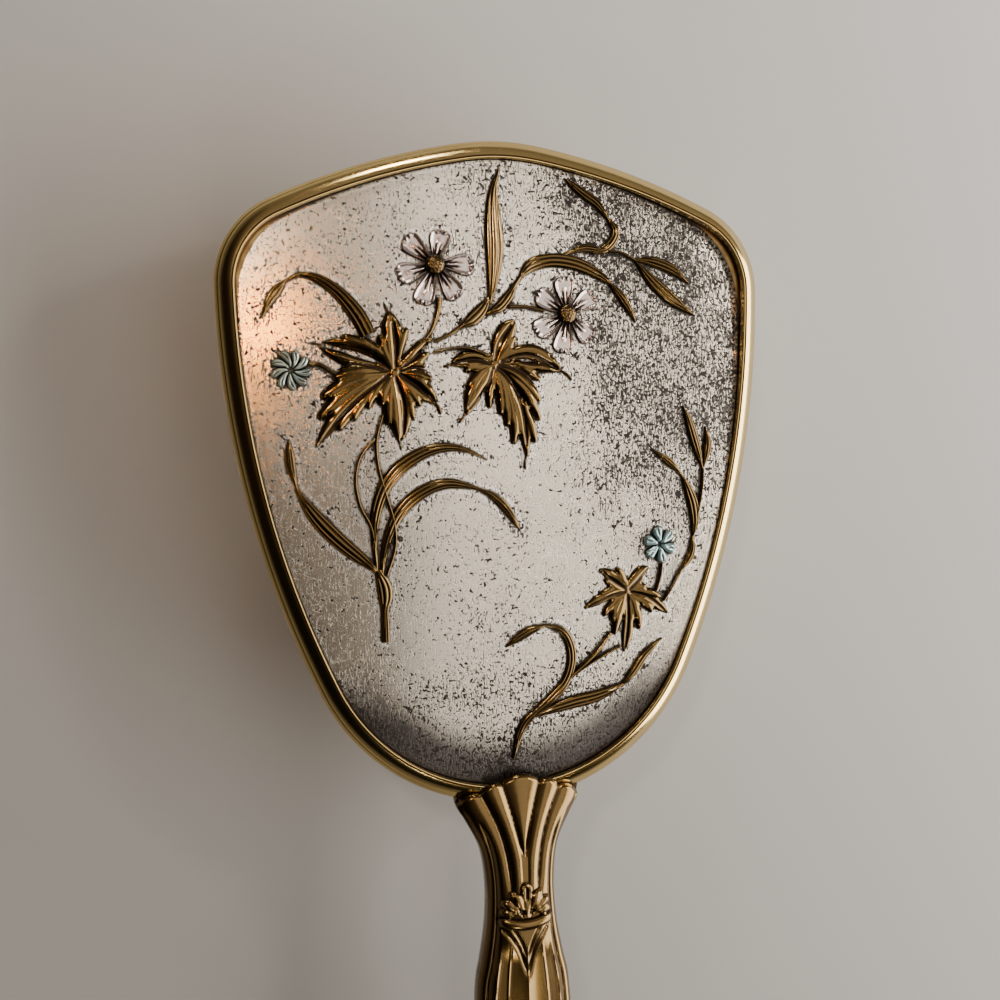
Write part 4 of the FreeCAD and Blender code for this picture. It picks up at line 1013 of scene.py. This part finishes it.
STATION_LINE = smooth_line(HANDLE_STATIONS, 6)[::-1]


def station(y, column):
    return np.interp(y, STATION_LINE[:, 0], STATION_LINE[:, column])


def curve_x(y, line):
    """x of a line of (x, y) points, at each y; the line runs towards the handle's end."""
    return np.interp(y, line[::-1, 1], line[::-1, 0])


FLUTE_INNER = smooth_line([(3.4, -108.6), (2.55, -111.5), (1.6, -115), (0.7, -118.5), (0, -121.6)], 6)
FLUTE_OUTER = smooth_line([(7.15, -110), (5.65, -113), (4.2, -116.5), (3.25, -120), (2.65, -124),
                           (2.35, -128)], 6)
EDGE_BEAD = smooth_line([(9.3, -111), (7.9, -114), (6.3, -117.5), (5.35, -121), (4.85, -125),
                         (4.75, -130), (5.1, -135), (5.9, -140), (6.9, -146), (7.7, -165),
                         (8.5, -190), (8.7, -208), (7.6, -218), (5, -225), (1.5, -229)], 6)
NEST_OUTER = smooth_line([(4.2, -133.8), (2.7, -135.3), (1.3, -137.6), (0.4, -140.4), (0, -142.6)], 6)
NEST_INNER = smooth_line([(2.4, -133.8), (1.2, -135.8), (0.4, -138), (0, -139.4)], 6)
PANEL_EDGE = smooth_line([(3.4, -134.2), (4.25, -136), (4.9, -139.5), (5.7, -145), (6.3, -155),
                          (7, -175), (7.3, -195), (6.6, -210), (4.4, -219), (0, -225.5)], 6)


def reed(ax, low, high, sink, swell):
    """A convex reed between two grooves: sink at the grooves, rising by swell in the middle."""
    q = unit(np.abs((ax - low) / np.maximum(high - low, 0.05) * 2 - 1))
    inside = (ax >= low) & (ax <= high)
    round_top = unit(1 - q ** 2.2) ** 0.95
    lift = np.where(inside, -sink + (sink + swell) * round_top, 0)
    dark = np.where(inside, smoothstep(0.84, 1, q) * np.clip(sink / 0.45, 0, 0.8), 0)
    return lift, dark


def handle_relief(x, y):
    """Displacement of the back shell: reeded fan, edge beads, nested Vs and two long panels."""
    ax = np.abs(x)
    lift = np.zeros(np.broadcast(x, y).shape)
    hollow = np.zeros_like(lift)
    inner, outer = curve_x(y, FLUTE_INNER), curve_x(y, FLUTE_OUTER)
    fan = smoothstep(-131.5, -124, y)
    heart = smoothstep(-122.2, -119, y)
    inner = np.where(y < -121.6, 0, inner)
    soft = np.where(ax < 0.5 * (inner + outer), heart, 1)
    for low, high, sink, swell, depth in ((-inner, inner, 0.44 * heart, 0.08 * heart, 1),
                                          (inner, outer, 0.46 * fan, 0.22 * fan, soft),
                                          (outer, station(y, 1), 0.44 * fan, 0.12 * fan, 1)):
        rise, dark = reed(ax, low, high, sink, swell)
        lift = lift + np.where(rise < 0, rise * depth, rise)
        hollow = hollow + dark * depth
    cuts = [
        (EDGE_BEAD, 0.85, 0.55 * fade(-119, -114, y)),
        (NEST_OUTER, 0.75, 0.5 * smoothstep(-143, -140, y) * fade(-134.2, -133.2, y)),
        (NEST_INNER, 0.6, 0.45 * smoothstep(-139.8, -138, y) * fade(-134.2, -133.2, y)),
    ]
    for line, width, depth in cuts:
        away = ax - curve_x(y, line)
        lift = lift - depth * valley(away, width)
        hollow = hollow + 1.5 * depth * valley(away, 0.3)
    panels = fade(-140, -135.5, y)
    closing = smoothstep(-226, -214, y)
    edge = curve_x(y, PANEL_EDGE)
    dish = unit(1 - ((ax - 0.5 * edge) / np.maximum(0.5 * edge, 0.4)) ** 2)
    lift = lift - 0.48 * dish * panels * closing
    lift = lift + 0.22 * valley(ax - edge, 0.7) * panels * closing
    lift = lift + 0.16 * valley(ax - 0.62 * edge, 0.35) * panels * closing
    hollow = hollow + 0.5 * valley(ax - edge + 0.5, 0.45) * panels * closing
    return lift, unit(hollow)


def handle_top(x, y):
    """Height of the back shell."""
    half = station(y, 1)
    v = unit(np.abs(x) / half)
    crown = SIDE_WALL + (station(y, 2) - SIDE_WALL) * unit(1 - v ** 2.3) ** 0.62
    lift, _ = handle_relief(x, y)
    return SEAM_Z + crown + lift * unit((1 - v) / 0.06)


def fan_edge(x):
    """y of the scalloped end at each x: a middle scallop and two to each side."""
    ax = np.abs(x)
    corners = [(0, -108.7), (3.4, -108.7), (7.15, -110.2), (11.1, -112.2)]
    y = np.interp(ax, [c[0] for c in corners], [c[1] for c in corners])
    y = y + np.where(ax < 3.4, 1.3 * (1 - (ax / 3.4) ** 2), 0)
    for (x0, _), (x1, _) in zip(corners[1:], corners[2:]):
        q = 2 * (ax - x0) / (x1 - x0) - 1
        y = y + np.where((ax >= x0) & (ax <= x1), 0.8 * (1 - q ** 2), 0)
    return y


def make_back_shell():
    across = 141
    v = np.sin(np.linspace(-0.5, 0.5, across) * math.pi) * 0.35 + np.linspace(-1, 1, across) * 0.65
    fan = np.linspace(0, 1, 46) ** 1.5
    rows = []
    for f in fan:
        y = np.full(across, -112)
        for _ in range(4):
            x = v * station(y, 1)
            start = fan_edge(x)
            y = start + f * (-116 - start)
        rows.append(stacked(v * station(y, 1), y))
    body = np.concatenate([np.arange(-116.35, -150, -0.35), np.arange(-150, -216, -0.8),
                           np.arange(-216, -229, -0.4), np.linspace(-229, HANDLE_END, 8)])
    for y in body:
        rows.append(stacked(v * station(y, 1), np.full(across, y)))
    xy = np.array(rows)
    z = handle_top(xy[..., 0], xy[..., 1])
    lip = xy[..., 1] - fan_edge(xy[..., 0])
    z = z - 1.1 * (1 - np.sqrt(unit(1 - unit(1 + lip / 0.9) ** 2)))
    _, hollow = handle_relief(xy[..., 0], xy[..., 1])
    end_lift = smoothstep(HANDLE_END + 1.2, HANDLE_END, xy[..., 1])
    z = z - 0.5 * end_lift * (z - SEAM_Z)
    side = np.full((len(xy), 1), 0.5)
    foot = xy[:, [0, across - 1]]
    low = np.concatenate([foot, np.full((len(xy), 2, 1), SEAM_Z)], axis=2)
    ring = np.concatenate([low[:, :1], np.concatenate([xy, z[..., None]], axis=2), low[:, 1:]], axis=1)
    shell = Shell()
    shell.add(ring, capped_tube(*ring.shape[:2]), np.concatenate([side, hollow, side], axis=1))
    add_bouquet(shell)
    shell.finish("handle_back", GILT, "gilt", "handle_back_shell", 35)


def bouquet():
    """The cast bud cluster as a leaf: a bud, a diamond before it, and leaves and scrolls on each side."""
    lobules = [(0, -129.2, 0, -125.9, 1.2, 0, 0.2), (0, -131.6, 0, -128.3, 0.95, 0, 0.15)]
    for side in (-1, 1):
        lobules += [
            (side * 0.9, -130.2, side * 2.6, -127.5, 1.2, side * 0.1, 0.7),
            (side * 1.6, -130.7, side * 4.1, -128.9, 1.1, side * 0.2, 0.7),
            (side * 2.6, -131.2, side * 4.5, -130.6, 0.85, side * 0.1, 0.7),
            (side * 0.8, -131.9, side * 3.7, -131.9, 0.6, side * 1.1, 0.9),
        ]
    return {"centre": (0, -131.5), "middle": 0.8, "rise": 1, "merged": 0.4, "lobules": lobules,
            "ribs": [[(0, -128.6), (0, -127.6), (0, -126.6)]]}


def add_bouquet(shell):
    """The bud cluster on the fan, and the band below it."""
    leaf_mesh(shell, bouquet(), base=handle_top, sink=0.9, grid=0.11)
    band = [(-4.8, -132.1, 0.45), (-4, -132.4, 0.9), (-2, -132.85, 0.95), (0, -133, 0.95),
            (2, -132.85, 0.95), (4, -132.4, 0.9), (4.8, -132.1, 0.45)]
    strip(shell, band, 1, stem_section, base=handle_top, sink=0.9)


def make_front_shell():
    v = np.linspace(-1, 1, 81)
    rows, dark = [], []
    for y in [*np.arange(-111, -226, -0.7), *np.arange(-226, HANDLE_END, -0.3), HANDLE_END]:
        half, depth = station(y, 1), station(y, 3)
        z = SEAM_Z - SIDE_WALL - (depth - SIDE_WALL) * unit(1 - np.abs(v) ** 2.3) ** 0.62
        z = z + 0.35 * valley(np.abs(v) * half - (half - 1.3), 0.5) * smoothstep(HANDLE_END, -222, y)
        row = stacked(v * half, np.full(len(v), y), z)
        low = np.array([[half, y, SEAM_Z - 0.02], [-half, y, SEAM_Z - 0.02]])
        rows.append(np.concatenate([low[1:], row, low[:1]]))
        dark.append(np.concatenate([[0.5], 0.8 * valley(np.abs(v) * half - (half - 1.3), 0.25), [0.5]]))
    ring = np.array(rows)
    shell = Shell()
    shell.add(ring, capped_tube(*ring.shape[:2]), np.array(dark))
    shell.finish("handle_front", GILT, "gilt", "handle_front_shell", 35)


# ---- everything

def paint_inner_nodes():
    """CAD nodes whose shape stays: the bristle block, and the pieces sealed inside."""
    for node, material in (("bristle_block", IVORY), ("head_core", WOOD), ("tang", STEEL),
                           ("tang_screws", STEEL), ("tuft_anchors", STEEL), ("handle_filler", PITCH)):
        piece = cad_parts[node]
        piece.data.materials.clear()
        piece.data.materials.append(material)


def make_object():
    make_plate()
    make_rim()
    for node, leaf in LEAVES.items():
        make_leaf(node, leaf)
    for node, spines in STRIPS.items():
        make_strips(node, spines)
    make_silver_flowers()
    make_enamel_flowers()
    make_tufts("border_bristles", outline(9, 47), BORDER_TIP, "border_tufts")
    make_tufts("field_bristles", field_sites(), FIELD_TIP, "field_tufts")
    make_back_shell()
    make_front_shell()
    paint_inner_nodes()


# ---- camera, floor and light

# the camera looks down on the brush's back from slightly left of square
CAMERA_TURN = (math.radians(3.4), math.radians(15.7), math.radians(2.55))
CAMERA_SHIFT = (0, 60.3, -192.3)
OUTLINE_Z = 26.5
FOCAL_MM = 41.4
FLOOR_REACH = 4

# each light's place, aim, size, watts, colour and angle of its beam
BRUSH = (0, 0.03, 0.02)
PLATE_LEFT = (-0.036, 0.084, 0.027)
LIGHTS = {
    "ceiling": ((0.2, 0.3, 0.62), (0.2, 0.3, 0), (0.66, 0.5), 0.36, (1, 0.9, 0.79), 180),
    "window": ((0.21, 0.03, 0.6), (0.19, 0.03, 0), (0.8, 0.34), 1.15, (1, 0.97, 0.93), 180),
    "right_panel": ((0.6, -0.05, 0.26), BRUSH, (0.8, 0.55), 13, (1, 0.97, 0.9), 180),
    "spark_left": ((-0.22, 0.28, 0.5), BRUSH, (0.05, 0.05), 0.9, (1, 0.9, 0.74), 180),
    "spark_right": ((0.5, 0.3, 0.42), BRUSH, (0.05, 0.05), 0.9, (1, 0.96, 0.88), 180),
    "spark_near": ((-0.04, -0.36, 0.42), BRUSH, (0.05, 0.05), 0.45, (1, 0.94, 0.82), 180),
    "spark_top": ((-0.02, 0.7, 0.2), (0, 0.11, 0.027), (0.1, 0.05), 0.03, (1, 0.93, 0.78), 30),
    "warm_lamp": ((-0.122, 0.162, 0.42), PLATE_LEFT, (0.022, 0.03), 0.005, (1, 0.34, 0.004), 26),
}


def make_camera():
    data = bpy.data.cameras.new("camera")
    data.sensor_width = 36
    data.lens = FOCAL_MM
    data.clip_start = 0.005
    camera = place_in_scene("camera", data)
    rx, ry, rz = CAMERA_TURN
    turn = Matrix.Rotation(rz, 3, "Z") @ Matrix.Rotation(ry, 3, "Y") @ Matrix.Rotation(rx, 3, "X")
    back = turn.transposed()
    place = -(back @ Vector(CAMERA_SHIFT))
    place = Vector((place.x, place.y + APEX_Y, place.z + OUTLINE_Z)) * MM
    camera.matrix_world = Matrix.Translation(place) @ back.to_4x4()
    bpy.context.scene.camera = camera


def lies_along(tree, coordinates, direction):
    """How far the shaded place, or the way looked in, lies along a direction."""
    here = add_node(tree, "TexCoord", coordinates, {})
    return add_node(tree, "VectorMath", "Value", {0: here, 1: direction}, operation="DOT_PRODUCT")


def make_floor():
    mesh = bpy.data.meshes.new("floor")
    corners = [(x * FLOOR_REACH, y * FLOOR_REACH, 0) for x, y in ((-1, -1), (1, -1), (1, 1), (-1, 1))]
    mesh.from_pydata(corners, [], [(0, 1, 2, 3)])
    paint = Paint("pale_floor")
    # Painted light: the floor's colour is darker towards the lower left and lighter towards the upper right,
    # standing in for light falling off from the upper right.
    across = lies_along(paint.tree, "Object", (2.6, 2.8, 0))
    shade = across.maths("ADD", across, 0.22, clamp=True)
    tint = mix(shade, (0.225, 0.211, 0.198), (0.445, 0.436, 0.424))
    mesh.materials.append(paint.finish({"Base Color": tint, "Roughness": 0.85}))
    place_in_scene("floor", mesh)


def make_sky():
    """A dim room, brighter towards the upper right, dark on the near side and grey along the horizon."""
    world = bpy.data.worlds.new("studio")
    bpy.context.scene.world = world
    world.use_nodes = True
    tree = world.node_tree
    sky = ramp(lies_along(tree, "Generated", (0.58, 0.42, 0.7)),
               (0, (0.01, 0.007, 0.005)), (0.25, (0.055, 0.043, 0.033)), (0.42, (0.17, 0.14, 0.11)),
               (0.7, (0.24, 0.22, 0.2)), (1, (0.34, 0.32, 0.3)))
    far_side = ramp(lies_along(tree, "Generated", (0, 1, 0)) + 0.5, (0.04, 0.12), (0.26, 1))
    horizon = ramp(lies_along(tree, "Generated", (0, 0, 1)), (0.04, 1), (0.22, 0))
    sky = mix(horizon, mix(far_side, grey(0.004), sky), (0.2, 0.185, 0.17))
    put(tree.nodes["Background"].inputs["Color"], sky)


def make_lights():
    for name, (place, aim, size, watts, colour, degrees) in LIGHTS.items():
        data = bpy.data.lights.new(name, "AREA")
        data.shape = "RECTANGLE"
        data.size, data.size_y = size
        data.energy = watts
        data.color = colour
        data.spread = math.radians(degrees)
        light = place_in_scene(name, data)
        light.location = place
        light.rotation_mode = "QUATERNION"
        light.rotation_quaternion = (Vector(place) - Vector(aim)).to_track_quat("Z", "Y")


make_object()
make_camera()
make_floor()
make_sky()
make_lights()
